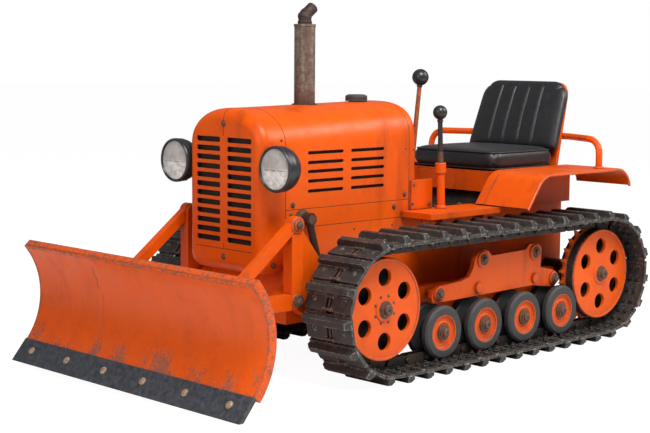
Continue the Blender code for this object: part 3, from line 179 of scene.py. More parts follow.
# ---------------------------------------------------------------- finishes
def orange_paint(name, wear=1.0, dirt_and_shade_amount=1.0, soft_edge=0.0, foot=None, chips=None):
    """Orange enamel: faint mottling, dark runs of soiling, rubbed edges and painted shade in the
    corners.

    soft_edge rounds the shading of sharp edges. foot gives the heights between which scraped-off
    paint fades out. chips is the noise level above which paint is gone all over a narrow part.
    """
    g = Graph(name)
    base = g.mix(g.noise(2.6, 4), srgb(226, 88, 2), srgb(208, 76, 2))
    base = g.mix(g.ramp(g.noise(38, 5, 0.7), 0.50, 0.80, 0.0, 0.30), base, srgb(238, 106, 10))
    base = g.mix(g.ramp(g.noise(9, 5, 0.7), 0.50, 0.75, 0.0, 0.45), base, srgb(182, 60, 4))
    # Painted shade: occlusion darkening where surfaces crowd together, broken up by noise.
    painted_shade_and_dirt = g.math("MULTIPLY", g.crevices(0.040), g.ramp(g.noise(26, 5, 0.7), 0.25, 0.70, 0.40,
                                                         1.0))
    runs = g.ramp(g.noise(7, 5, 0.65, g.stretch(1, 1, 0.16)), 0.52, 0.72, 0.0, 0.34)
    # Mixed mask: the painted corner shade plus real soiling runs, both laid on as the dark brown
    # below.
    painted_shade_and_dirt = g.math("ADD", g.math("MULTIPLY", painted_shade_and_dirt, 0.80 * dirt_and_shade_amount), g.math("MULTIPLY", runs, dirt_and_shade_amount))
    base = g.mix(painted_shade_and_dirt, base, srgb(84, 34, 12))
    flecks = g.ramp(g.noise(150, 4, 0.75), 0.675, 0.71)
    patches = g.ramp(g.noise(7, 3, 0.6), 0.50, 0.66)
    flecks = g.math("MULTIPLY", flecks, g.math("MULTIPLY", patches, 0.85 * wear))
    rubbed = g.math("MULTIPLY", g.edges(0.0030 + 0.0016 * wear),
                    g.ramp(g.noise(48, 5, 0.8), 0.50 - 0.035 * wear, 0.60 - 0.035 * wear))
    rubbed = g.math("MULTIPLY", rubbed, 0.85)
    bare = g.math("MAXIMUM", flecks, rubbed)
    if chips:
        bare = g.math("MAXIMUM", bare, g.ramp(g.noise(55, 6, 0.85), chips, chips + 0.05, 0.0, 0.85))
    if foot:
        rise = g.ramp(g.axis("z"), foot[0], foot[1], 1.0, 0.0)
        tongues = g.noise(9, 3, 0.6, g.stretch(1, 1, 0.15))
        reach = g.math("MULTIPLY", rise, g.ramp(tongues, 0.42, 0.66, 0.42, 1.0))
        speckle = g.noise(120, 6, 0.85, g.stretch(1, 1, 0.5))
        scraped = g.ramp(g.math("ADD", g.math("MULTIPLY", reach, 0.33), speckle), 0.66, 0.74)
        bare = g.math("MAXIMUM", bare, g.math("MULTIPLY", scraped, 0.75))
    metal = g.mix(g.noise(90, 3), srgb(128, 106, 94), srgb(72, 60, 56))
    colour = g.mix(bare, base, metal)
    rough = g.math("ADD", g.ramp(g.noise(14, 4), 0.3, 0.7, 0.30, 0.44),
                   g.math("MULTIPLY", bare, 0.30))
    rough = g.math("ADD", rough, g.math("MULTIPLY", painted_shade_and_dirt, 0.3))
    height = g.math("SUBTRACT", g.math("MULTIPLY", g.noise(55, 2), 0.25),
                    g.math("MULTIPLY", bare, 0.6))
    g.bump(height, 0.30, 0.0006, soft_edge)
    return g.finish(colour, rough, 0.0, Specular_IOR_Level=0.26)


def dark_steel(name, dark, bright, rust=0.35, edge=0.0035, grain=180, soft_edge=0.0):
    """Dark working steel, bright where it rubs and brown in scattered patches."""
    g = Graph(name)
    lighter = tuple(channel * 2.2 for channel in dark[:3]) + (1.0,)
    base = g.mix(g.ramp(g.noise(48, 6, 0.75), 0.35, 0.70), dark, lighter)
    brown = g.math("MULTIPLY", g.ramp(g.noise(19, 4, 0.7), 0.45, 0.70), rust)
    base = g.mix(brown, base, srgb(92, 66, 48))
    rubbed = g.math("MULTIPLY", g.edges(edge), g.ramp(g.noise(60, 5, 0.8), 0.44, 0.62))
    colour = g.mix(g.math("MULTIPLY", rubbed, 0.9), base, bright)
    rough = g.math("SUBTRACT", g.ramp(g.noise(48, 4), 0.3, 0.7, 0.42, 0.62),
                   g.math("MULTIPLY", rubbed, 0.16))
    g.bump(g.noise(grain, 5, 0.7), 0.65, 0.0010, soft_edge)
    return g.finish(colour, rough, g.math("ADD", g.math("MULTIPLY", rubbed, 0.35), 0.30))


def rusty_steel(name, first, second, scale=60):
    """Browned steel with speckled rust."""
    g = Graph(name)
    base = g.mix(g.ramp(g.noise(scale, 6, 0.75), 0.36, 0.66), first, second)
    base = g.mix(g.ramp(g.noise(scale * 3, 5, 0.8), 0.58, 0.72, 0.0, 0.7), base, srgb(40, 30, 27))
    shine = g.math("MULTIPLY", g.edges(0.002), g.ramp(g.noise(90, 3), 0.4, 0.6, 0.0, 0.5))
    base = g.mix(shine, base, srgb(158, 132, 116))
    g.bump(g.noise(scale * 4, 5, 0.75), 0.6, 0.0008)
    return g.finish(base, g.ramp(g.noise(scale, 4), 0.3, 0.7, 0.45, 0.72), 0.35)


def exhaust_metal(name):
    """Grey-brown flaked steel with vertical stains, redder and darker towards its foot."""
    g = Graph(name)
    base = g.mix(g.ramp(g.noise(46, 6, 0.8), 0.36, 0.64), srgb(138, 124, 112), srgb(92, 78, 68))
    base = g.mix(g.ramp(g.noise(170, 4, 0.8), 0.55, 0.68, 0.0, 0.85), base, srgb(64, 50, 44))
    streak = g.noise(30, 4, 0.6, g.stretch(1, 1, 0.05))
    base = g.mix(g.ramp(streak, 0.42, 0.62, 0.0, 0.55), base, srgb(82, 52, 40))
    foot = g.ramp(g.axis("z"), 1.05, 1.13, 0.75, 0.0)
    base = g.mix(foot, base, srgb(84, 44, 32))
    g.bump(g.noise(210, 5, 0.8), 0.7, 0.0010)
    return g.finish(base, g.ramp(g.noise(60, 4), 0.3, 0.7, 0.48, 0.72), 0.35)


def rubber(name):
    g = Graph(name)
    base = g.mix(g.noise(42, 5, 0.7), srgb(34, 35, 37), srgb(58, 58, 60))
    dusty = g.math("MULTIPLY", g.edges(0.004), g.ramp(g.noise(80, 4), 0.4, 0.65, 0.0, 0.6))
    g.bump(g.noise(210, 4, 0.7), 0.5, 0.0006)
    return g.finish(g.mix(dusty, base, srgb(112, 108, 104)), 0.58)


def vinyl(name):
    """Black seat vinyl with a fine pebble grain."""
    g = Graph(name)
    base = g.mix(g.noise(11, 3), srgb(22, 23, 27), srgb(34, 35, 40))
    dusty = g.ramp(g.noise(24, 5, 0.7), 0.50, 0.85, 0.0, 0.14)
    g.bump(g.math("ADD", g.math("MULTIPLY", g.cells(620), 0.8),
                  g.math("MULTIPLY", g.noise(16, 2), 0.4)), 0.22, 0.0005)
    return g.finish(g.mix(dusty, base, srgb(80, 78, 78)),
                    g.ramp(g.noise(30, 3), 0.3, 0.7, 0.34, 0.46), 0.0, Sheen_Weight=0.05)


def glossy_black(name, colour=(26, 28, 31)):
    """Smooth black enamel or knob plastic, faintly scuffed."""
    g = Graph(name)
    base = g.mix(g.noise(60, 4, 0.7), srgb(*colour),
                 tuple(2.2 * channel for channel in srgb(*colour)[:3]) + (1.0,))
    scuffed = g.math("MULTIPLY", g.edges(0.003), g.ramp(g.noise(90, 3), 0.42, 0.62, 0.0, 0.6))
    g.bump(g.noise(120, 3), 0.12, 0.0005)
    return g.finish(g.mix(scuffed, base, srgb(98, 96, 94)),
                    g.ramp(g.noise(40, 4), 0.3, 0.7, 0.28, 0.42))


def dark_core(name):
    """Dark radiator mesh: a fine grid of brown-black cells."""
    g = Graph(name)
    weave = g.cells(240)
    base = g.mix(g.ramp(weave, 0.15, 0.55), srgb(14, 12, 10), srgb(58, 46, 36))
    base = g.mix(g.ramp(g.noise(20, 4), 0.45, 0.7, 0.0, 0.5), base, srgb(36, 24, 16))
    g.bump(weave, 0.8, 0.002)
    return g.finish(base, 0.7, 0.2)


# Dark brown-black for seams, also used as painted shade inside the hood.
def seam_and_shade_black(name):
    g = Graph(name)
    g.bump(g.noise(300, 2), 0.2, 0.0004)
    return g.finish(g.mix(g.noise(70, 4), srgb(26, 12, 6), srgb(54, 24, 10)), 0.8)


def thread(name):
    g = Graph(name)
    g.bump(g.noise(700, 2), 0.5, 0.0004)
    return g.finish(g.mix(g.noise(300, 3), srgb(128, 126, 124), srgb(86, 86, 88)), 0.75)


def lamp_glass(name):
    """Milky pressed glass with painted light of a bright bowl behind it and painted shade over its
    upper half: upright flutes and a level line across it.
    """
    g = Graph(name)
    across = g.axis("y")
    flutes = g.math("ADD", g.math("MULTIPLY", g.add("Math", {"operation": "SINE"}, i0=g.add(
        "Math", {"operation": "MULTIPLY"}, i0=across, i1=780.0)), 0.5), 0.5)
    level = middle_of("headlamp_left").z
    # Painted shade: the lens is darkened over its upper half, above the level line.
    above = g.ramp(g.axis("z"), level - 0.012, level + 0.010)
    # Whitish base: partly the milky glass's own tone, partly painted light of the bowl behind it.
    tone = g.mix(g.ramp(g.noise(34, 5, 0.7), 0.35, 0.65), srgb(244, 244, 243), srgb(188, 186, 183))
    tone = g.mix(g.math("MULTIPLY", above, 0.70), tone, srgb(158, 150, 147))
    tone = g.mix(g.math("MULTIPLY", flutes, 0.16), tone, srgb(150, 148, 146))
    line = g.ramp(g.add("Math", {"operation": "ABSOLUTE"},
                        i0=g.add("Math", {"operation": "SUBTRACT"}, i0=g.axis("z"),
                                 i1=level - 0.004)), 0.0012, 0.0035, 1.0, 0.0)
    tone = g.mix(g.math("MULTIPLY", line, g.ramp(g.noise(60, 4), 0.4, 0.6, 0.2, 0.9)), tone,
                 srgb(128, 122, 114))
    g.bump(g.math("ADD", g.math("MULTIPLY", flutes, 0.6), g.math("MULTIPLY", g.noise(90, 3), 0.3)),
           0.35, 0.0015)
    return g.finish(tone, 0.16, 0.0, Coat_Weight=0.8, Coat_Roughness=0.06)


ORANGE = orange_paint("orange_paint", soft_edge=0.0025)
ORANGE_BODY = orange_paint("orange_body", 0.8, 1.0)
ORANGE_WORN = orange_paint("orange_paint_worn", 1.8, 1.2, 0.002)
ORANGE_BLADE = orange_paint("orange_blade", 1.3, 0.45, 0.0, (0.085, 0.265))
ORANGE_FLANGE = orange_paint("orange_flange", 2.0, 0.8, chips=0.50)
TRACK_STEEL = dark_steel("track_steel", srgb(44, 44, 44), srgb(176, 171, 166), 0.16, 0.0062, 140)
LINK_STEEL = dark_steel("link_steel", srgb(24, 23, 22), srgb(88, 80, 74), 0.6)
EDGE_STEEL = dark_steel("edge_steel", srgb(50, 55, 62), srgb(132, 122, 112), 0.15, 0.003, 260)
SCRAPED = dark_steel("scraped_steel", srgb(84, 78, 72), srgb(150, 140, 130), 0.8, 0.003)
RUSTY = rusty_steel("rusty_steel", srgb(110, 78, 62), srgb(78, 60, 52))
DARK_RUST = rusty_steel("dark_rust", srgb(62, 46, 40), srgb(44, 34, 30))
PALE_BOLT = rusty_steel("pale_bolt", srgb(176, 156, 138), srgb(126, 106, 92), 90)
EXHAUST = exhaust_metal("exhaust_metal")
CAST = dark_steel("cast_iron", srgb(26, 24, 22), srgb(80, 72, 66), 0.5)
RUBBER = rubber("roller_tread")
VINYL = vinyl("seat_vinyl")
BLACK = glossy_black("lamp_black")
CAP_GREY = glossy_black("cap_grey", (52, 52, 54))
MESH = dark_core("radiator_mesh")
SEAM_AND_SHADE = seam_and_shade_black("seam_and_shade_black")
THREAD = thread("seat_thread")
GLASS = lamp_glass("lamp_glass")

SLOT_FINISH = {"orange_paint": ORANGE, "edge_steel": EDGE_STEEL, "track_steel": TRACK_STEEL,
               "roller_tread": RUBBER, "rusty_steel": RUSTY, "cast_iron": CAST,
               "black_vinyl": VINYL, "lamp_housing": BLACK, }


def finish_cad_nodes():
    for entry in frame["record"]["subparts"]:
        node = NODES[entry["node"]]
        node.data.materials.clear()
        node.data.materials.append(SLOT_FINISH[entry["material_slot"]])
    NODES["radiator_core"].data.materials[0] = MESH
    for name in ("lift_barrel_left", "lift_barrel_right", "lift_rod_left", "lift_rod_right"):
        NODES[name].data.materials[0] = DARK_RUST
    for name in ("main_frame", "hood_base", "cowl", "seat_base", "footplate_left",
                 "footplate_right"):
        NODES[name].data.materials[0] = ORANGE


# ---------------------------------------------------------------- building pieces
def fillet(path, radius, steps=3, closed=False):
    """Flat path with its corners rounded; the radius shrinks where a side is short."""
    points = [Vector(point) for point in path]
    rounded = []
    count = len(points)
    for index, corner in enumerate(points):
        if not closed and index in (0, count - 1):
            rounded.append(corner.copy())
            continue
        before = points[index - 1] - corner
        after = points[(index + 1) % count] - corner
        if before.length < 1e-7 or after.length < 1e-7:
            rounded.append(corner.copy())
            continue
        half = before.angle(after) / 2
        if half > math.radians(88):
            rounded.append(corner.copy())
            continue
        reach = min(radius / math.tan(half), before.length * 0.45, after.length * 0.45)
        start = corner + before.normalized() * reach
        end = corner + after.normalized() * reach
        for step in range(steps + 1):
            share = step / steps
            rounded.append(start.lerp(corner, share).lerp(corner.lerp(end, share), share))
    return rounded


def ring_points(centre, radius, steps, start=0.0, end=360.0):
    """Points on a circle or arc, by angles in degrees."""
    closed = abs(end - start) >= 360
    count = steps if closed else steps + 1
    points = []
    for step in range(count):
        angle = math.radians(start + (end - start) * step / steps)
        points.append((centre[0] + radius * math.cos(angle), centre[1] + radius * math.sin(angle)))
    return points


def span(side, inner, outer):
    return (inner, outer) if side > 0 else (-outer, -inner)


TURN = {"x": Euler((math.pi / 2, 0, math.pi / 2)).to_matrix().to_4x4(),
        "y": Euler((math.pi / 2, 0, 0)).to_matrix().to_4x4(),
        "z": Matrix.Identity(4)}


def disc(radius, low, high):
    """Turned profile of a plain round plate or rod."""
    return [(0, high), (radius, high), (radius, low), (0, low)]


class Piece:
    """One visual piece, gathered from smaller shapes that each have a finish."""

    def __init__(self, name, body="machine", instead=(), sharp=32.0):
        self.name = name
        self.body = body
        self.instead = instead
        self.sharp = math.radians(sharp)
        self.solid = bmesh.new()
        self.finishes = []

    def take(self, part, finish, where=None, smooth=True):
        if finish not in self.finishes:
            self.finishes.append(finish)
        number = self.finishes.index(finish)
        for face in part.faces:
            face.material_index = number
            face.smooth = smooth
        if where is not None:
            part.transform(where)
        carrier = bpy.data.meshes.new("carrier")
        part.to_mesh(carrier)
        part.free()
        self.solid.from_mesh(carrier)
        bpy.data.meshes.remove(carrier)

    def plate(self, loops, axis, low, high, finish, soft=0.0015, turn=None):
        """Flat outline with holes, pressed out along an axis, its edges softened."""
        soft = min(soft, (high - low) * 0.45)
        curve = bpy.data.curves.new("outline", "CURVE")
        curve.dimensions = "2D"
        curve.fill_mode = "BOTH"
        curve.extrude = (high - low) / 2 - soft
        curve.bevel_depth = soft
        curve.bevel_resolution = 1
        curve.offset = -soft
        for loop in loops:
            spline = curve.splines.new("POLY")
            spline.points.add(len(loop) - 1)
            for point, (across, along) in zip(spline.points, loop):
                point.co = (across, along, 0, 1)
            spline.use_cyclic_u = True
        part = self._from_curve(curve)
        middle = (low + high) / 2
        shift = Matrix.Translation([middle if axis == own else 0 for own in "xyz"])
        matrix = shift @ TURN[axis]
        if turn is not None:
            matrix = turn @ matrix
        self.take(part, finish, matrix)

    def _from_curve(self, curve):
        drawn = bpy.data.objects.new("outline", curve)
        bpy.context.scene.collection.objects.link(drawn)
        bpy.context.view_layer.update()
        evaluated = drawn.evaluated_get(bpy.context.evaluated_depsgraph_get())
        mesh = bpy.data.meshes.new_from_object(evaluated)
        bpy.data.objects.remove(drawn)
        bpy.data.curves.remove(curve)
        part = bmesh.new()
        part.from_mesh(mesh)
        bpy.data.meshes.remove(mesh)
        bmesh.ops.remove_doubles(part, verts=part.verts, dist=0.00002)
        bmesh.ops.recalc_face_normals(part, faces=part.faces)
        return part

    def block(self, low, high, finish, soft=0.002, turn=None):
        part = bmesh.new()
        bmesh.ops.create_cube(part, size=1)
        low, high = Vector(low), Vector(high)
        size = high - low
        bmesh.ops.scale(part, vec=size, verts=part.verts)
        bmesh.ops.translate(part, vec=(low + high) / 2, verts=part.verts)
        bmesh.ops.bevel(part, geom=part.edges[:], offset=min(soft, min(size) * 0.4), segments=2,
                        profile=0.5, affect="EDGES")
        self.take(part, finish, turn)

    def lathe(self, profile, centre, direction, finish, steps=40, soft=0.0008, fine=2):
        """Turned shape: a profile of (radius, distance along), rounded at its corners."""
        outline = fillet(profile, soft, fine) if soft else [Vector(point) for point in profile]
        part = bmesh.new()
        rows = []
        for radius, along in outline:
            if radius < 1e-6:
                rows.append([part.verts.new((0, 0, along))])
                continue
            rows.append([part.verts.new((radius * math.cos(2 * math.pi * step / steps),
                                         radius * math.sin(2 * math.pi * step / steps), along))
                         for step in range(steps)])
        for first, second in zip(rows, rows[1:]):
            for step in range(steps):
                ahead = (step + 1) % steps
                corners = [first[step % len(first)], first[ahead % len(first)],
                           second[ahead % len(second)], second[step % len(second)]]
                corners = list(dict.fromkeys(corners))
                if len(corners) > 2:
                    part.faces.new(corners)
        bmesh.ops.recalc_face_normals(part, faces=part.faces)
        aim = Vector(direction).to_track_quat("Z", "Y").to_matrix().to_4x4()
        self.take(part, finish, Matrix.Translation(centre) @ aim)

    def tube(self, path, radius, finish, steps=6):
        curve = bpy.data.curves.new("path", "CURVE")
        curve.dimensions = "3D"
        curve.bevel_depth = radius
        curve.bevel_resolution = steps
        curve.use_fill_caps = True
        spline = curve.splines.new("POLY")
        spline.points.add(len(path) - 1)
        for point, where in zip(spline.points, path):
            point.co = (*where, 1)
        self.take(self._from_curve(curve), finish)

    def bolt(self, centre, direction, radius, finish=None, washer=1.5, height=0.7, sides=6):
        """Hexagon head on a round washer."""
        finish = finish or RUSTY
        if washer:
            self.lathe(disc(radius * washer, 0, 0.0022), centre, direction,
                       finish, 20, 0.0006, 1)
        top = 0.0015 + radius * height
        self.lathe([(0, top), (radius * 0.72, top), (radius, top - radius * 0.2), (radius, 0),
                    (0, 0)], centre, direction, finish, sides, 0.0003, 1)

    def dome(self, centre, direction, radius, finish=None, height=0.45, steps=16):
        """Round-headed bolt or rivet."""
        finish = finish or RUSTY
        rise = radius * height
        profile = [(radius * math.sin(math.radians(angle)), rise * math.cos(math.radians(angle)))
                   for angle in range(0, 91, 15)]
        self.lathe(profile + [(radius, -0.001), (0, -0.001)], centre, direction, finish, steps, 0)

    def done(self):
        for edge in self.solid.edges:
            if len(edge.link_faces) == 2 and edge.calc_face_angle(0) > self.sharp:
                edge.smooth = False
        bmesh.ops.translate(self.solid, vec=(MID_X, 0, 0), verts=self.solid.verts)
        mesh = bpy.data.meshes.new(self.name)
        self.solid.to_mesh(mesh)
        self.solid.free()
        for finish in self.finishes:
            mesh.materials.append(finish)
        thing = bpy.data.objects.new(self.name, mesh)
        bpy.context.scene.collection.objects.link(thing)
        even = thing.modifiers.new("even_shading", "WEIGHTED_NORMAL")
        even.keep_sharp = True
        if self.instead:
            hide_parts(*self.instead)
        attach(thing, self.body)
        return thing


# ---------------------------------------------------------------- measures, from mid-tracks
def local_box(name):
    low, high = node_box(name)
    shift = Vector((MID_X, 0, 0))
    return low - shift, high - shift


IDLER_LOW, IDLER_HIGH = local_box("idler_left")
TRACK_LOW, TRACK_HIGH = local_box("track_left")
AXLE_HALF = (IDLER_LOW.x + IDLER_HIGH.x) / 2
AXLE_Z = (IDLER_LOW.z + IDLER_HIGH.z) / 2
DISC = (IDLER_HIGH.x - IDLER_LOW.x) / 2
TRACK_IN, TRACK_OUT = TRACK_LOW.y, TRACK_HIGH.y
TRACK_MID = (TRACK_IN + TRACK_OUT) / 2
HUB_FACE = IDLER_HIGH.y                       # outer end of the wheels' hub caps
WHEEL_FACE = HUB_FACE - 0.026
HOOD_LOW, HOOD_HIGH = local_box("hood")
NOSE_LOW, NOSE_HIGH = local_box("grille_shell")
COWL_LOW, COWL_HIGH = local_box("cowl")
HALF = HOOD_HIGH.y
SIDE_TOP = 0.900                              # where the straight hood side turns into the crown
CROWN_FRONT = NOSE_HIGH.z - SIDE_TOP
CROWN_REAR = COWL_HIGH.z - SIDE_TOP
BAND_TOP = HOOD_LOW.z


# ---------------------------------------------------------------- tracks
SHOES = 39
PIN_LOOP = 0.2405                             # radius of the shoes' inner side around the axles
SHOE_TOP = 0.019
BAR_TOP = 0.0468
BAR_AT = 0.030                                # bar's middle, from the shoe's rear pin
FIRST_BAR = -0.010


def loop_place(travel):
    """Point on the pin loop in x and z, by the distance from mid-length of the top run."""
    bend = math.pi * PIN_LOOP
    straight = 2 * AXLE_HALF
    travel %= 2 * straight + 2 * bend
    if travel < AXLE_HALF:
        return Vector((travel, AXLE_Z + PIN_LOOP))
    travel -= AXLE_HALF
    if travel < bend:
        angle = math.pi / 2 - travel / PIN_LOOP
        return Vector((AXLE_HALF + PIN_LOOP * math.cos(angle), AXLE_Z + PIN_LOOP * math.sin(angle)))
    travel -= bend
    if travel < straight:
        return Vector((AXLE_HALF - travel, AXLE_Z - PIN_LOOP))
    travel -= straight
    if travel < bend:
        angle = -math.pi / 2 - travel / PIN_LOOP
        return Vector((-AXLE_HALF + PIN_LOOP * math.cos(angle),
                       AXLE_Z + PIN_LOOP * math.sin(angle)))
    return Vector((-AXLE_HALF + travel - bend, AXLE_Z + PIN_LOOP))


def shoe_mesh(pitch):
    """One shoe: x along the loop, y across, z outwards from the pins."""
    wide = (TRACK_OUT - TRACK_IN) / 2
    shoe = Piece("shoe")
    rim = [(0.002, -wide), (pitch - 0.002, -wide), (pitch - 0.002, wide), (0.002, wide)]
    slot = fillet([(0.056, -0.015), (0.056, 0.015), (pitch - 0.010, 0.015),
                   (pitch - 0.010, -0.015)], 0.006, 3, True)
    shoe.plate([fillet(rim, 0.006, 2, True), slot], "z", 0.0065, SHOE_TOP, TRACK_STEEL, 0.0018)
    shoe.block((pitch - 0.016, -wide + 0.004, 0.002), (pitch + 0.006, -0.022, 0.0085), TRACK_STEEL,
               0.002)
    shoe.block((pitch - 0.016, 0.022, 0.002), (pitch + 0.006, wide - 0.004, 0.0085), TRACK_STEEL,
               0.002)
    bar = bmesh.new()
    corners = []
    for y, top_y in ((-wide, -wide + 0.010), (wide, wide - 0.010)):
        corners.append([bar.verts.new(point) for point in (
            (BAR_AT - 0.018, y, SHOE_TOP - 0.004), (BAR_AT + 0.018, y, SHOE_TOP - 0.004),
            (BAR_AT + 0.015, y, SHOE_TOP + 0.012), (BAR_AT + 0.0125, top_y, BAR_TOP),
            (BAR_AT - 0.0125, top_y, BAR_TOP), (BAR_AT - 0.015, y, SHOE_TOP + 0.012))])
    near, far = corners
    bar.faces.new(near)
    bar.faces.new(far[::-1])
    for index in range(6):
        ahead = (index + 1) % 6
        bar.faces.new((near[index], near[ahead], far[ahead], far[index]))
    bmesh.ops.recalc_face_normals(bar, faces=bar.faces)
    bmesh.ops.bevel(bar, geom=bar.edges[:], offset=0.0028, segments=2, profile=0.6, affect="EDGES")
    shoe.take(bar, TRACK_STEEL)
    for x in (0.051, pitch - 0.008):
        shoe.lathe(disc(0.0052, -0.026, 0.026), (x, 0, SHOE_TOP + 0.001), (0, 1, 0),
                   RUSTY, 12, 0.001, 1)
        for y in (-0.020, 0.020):
            shoe.block((x - 0.0075, y - 0.005, SHOE_TOP - 0.004),
                       (x + 0.0075, y + 0.005, SHOE_TOP + 0.0055), TRACK_STEEL, 0.002)
    shoe.block((0.048, -0.0045, 0.004), (pitch - 0.004, 0.0045, SHOE_TOP - 0.002), RUSTY, 0.0015)
    for y in (-wide + 0.045, wide - 0.045):
        shoe.bolt((0.066, y, SHOE_TOP - 0.001), (0, 0, 1), 0.0085, TRACK_STEEL, 1.4, 0.5)
    for y in (-0.016, 0.016):
        link = [(-0.012, -0.016), (-0.008, -0.030), (0.012, -0.037), (pitch - 0.014, -0.037),
                (pitch + 0.006, -0.030), (pitch + 0.010, -0.016), (pitch + 0.002, 0.002),
                (pitch - 0.020, 0.0072), (0.020, 0.0072), (-0.004, 0.002)]
        low, high = (y - 0.0055, y + 0.0055)
        shoe.plate([fillet(link, 0.010, 3, True)], "y", low, high, LINK_STEEL, 0.0015)
    shoe.lathe(disc(0.0115, -0.030, 0.030), (0, 0, -0.016), (0, 1, 0), LINK_STEEL, 16,
               0.0015, 1)
    for x in (0.026, 0.074):
        for y in (-wide + 0.038, wide - 0.038, -0.050, 0.050):
            shoe.lathe([(0, 0), (0.0115, 0), (0.0115, -0.010), (0.0065, -0.0105), (0.0065, -0.017),
                        (0, -0.017)], (x, y, 0.0072), (0, 0, 1), LINK_STEEL, 6, 0.0008, 1)
    mesh = bpy.data.meshes.new("shoe")
    shoe.solid.to_mesh(mesh)
    shoe.solid.free()
    return mesh, shoe.finishes


def make_tracks():
    length = 4 * AXLE_HALF + 2 * math.pi * PIN_LOOP
    pitch = length / SHOES
    mesh, finishes = shoe_mesh(pitch)
    for label, side in SIDES:
        track = Piece("track_shoes_" + label, instead=["track_" + label])
        track.finishes = list(finishes)
        for shoe in range(SHOES):
            rear = loop_place(FIRST_BAR - BAR_AT + shoe * pitch)
            front = loop_place(FIRST_BAR - BAR_AT + (shoe + 1) * pitch)
            ahead = (front - rear).normalized()
            matrix = Matrix(((ahead.x, 0, -ahead.y, rear.x), (0, 1, 0, side * TRACK_MID),
                             (ahead.y, 0, ahead.x, rear.y), (0, 0, 0, 1)))
            copy = mesh.copy()
            copy.transform(matrix)
            track.solid.from_mesh(copy)
            bpy.data.meshes.remove(copy)
        track.done()


# ---------------------------------------------------------------- wheels, rollers and side frames
HOLE_CIRCLE, HOLE_RADIUS = 0.125, 0.0345      # of the six holes in a wheel's web
HUB_BOLT_CIRCLE = 0.0545
TEETH = 28
# outline of one tooth: share of the pitch, radius
TOOTH = ((0.0, 0.206), (0.30, 0.212), (0.46, 0.2335), (0.54, 0.2335), (0.70, 0.212))


def wheel(label, side, node, centre_x, toothed):
    out = (0, side, 0)
    name = node + "_" + label
    piece = Piece(name + "_wheel", instead=[name])
    centre = (centre_x, side * WHEEL_FACE, AXLE_Z)
    holes = []
    for degrees in range(90, 450, 60):
        angle = math.radians(degrees)
        middle = (centre_x + HOLE_CIRCLE * math.cos(angle), AXLE_Z + HOLE_CIRCLE * math.sin(angle))
        holes.append(ring_points(middle, HOLE_RADIUS, 36))
    web = ring_points((centre_x, AXLE_Z), DISC - 0.008, 96)
    piece.plate([web, *holes], "y", *span(side, WHEEL_FACE - 0.020, WHEEL_FACE - 0.0035), ORANGE,
                0.0022)
    piece.lathe([(DISC - 0.014, -0.010), (DISC - 0.011, -0.001), (DISC - 0.009, 0.0002),
                 (DISC - 0.003, 0.0002), (DISC - 0.001, -0.003), (DISC - 0.001, -0.012)], centre,
                out, ORANGE_WORN, 96, 0.0012)
    piece.lathe([(DISC - 0.006, -0.008), (DISC, -0.008), (DISC, -0.080), (DISC - 0.020, -0.080),
                 (DISC - 0.024, -0.060), (DISC - 0.024, -0.012)], centre, out, TRACK_STEEL, 96,
                0.001)
    piece.lathe([(DISC - 0.012, -0.052), (0.030, -0.052), (0.030, -0.064), (DISC - 0.012, -0.064)],
                centre, out, LINK_STEEL, 64, 0.0008)
    inner = local_box(name)[0].y if side > 0 else -local_box(name)[1].y
    piece.lathe(disc(0.042, 0, WHEEL_FACE - inner - 0.010),
                (centre_x, side * inner, AXLE_Z), out, CAST, 32, 0.001)
    piece.lathe([(0.050, -0.004), (0.047, 0.0005), (0.034, 0.0015), (0.030, 0.0015)], centre, out,
                ORANGE, 48, 0.001)
    piece.lathe([(0, 0.0255), (0.0175, 0.0255), (0.0215, 0.0220), (0.0215, 0.0110),
                 (0.0285, 0.0100), (0.0285, 0.0045), (0.0350, 0.0035), (0.0350, -0.004),
                 (0, -0.004)], centre, out, RUSTY, 40, 0.0012)
    piece.lathe(disc(0.0075, 0.0235, 0.0262), centre, out, DARK_RUST, 16, 0.0004)
    if not toothed:
        for bolt in range(8):
            angle = math.radians(22 + 45 * bolt)
            point = (centre_x + HUB_BOLT_CIRCLE * math.cos(angle), side * (WHEEL_FACE - 0.004),
                     AXLE_Z + HUB_BOLT_CIRCLE * math.sin(angle))
            piece.dome(point, out, 0.0062, RUSTY, 0.7, 8)
    if toothed:
        teeth = []
        for tooth in range(TEETH):
            for share, radius in TOOTH:
                angle = math.radians(360 / TEETH * (tooth + share))
                teeth.append((centre_x + radius * math.cos(angle),
                              AXLE_Z + radius * math.sin(angle)))
        bore = ring_points((centre_x, AXLE_Z), DISC - 0.024, 64)
        piece.plate([teeth, bore], "y", *span(side, TRACK_MID - 0.008, TRACK_MID + 0.008),
                    ORANGE_WORN, 0.0012)
    piece.done()


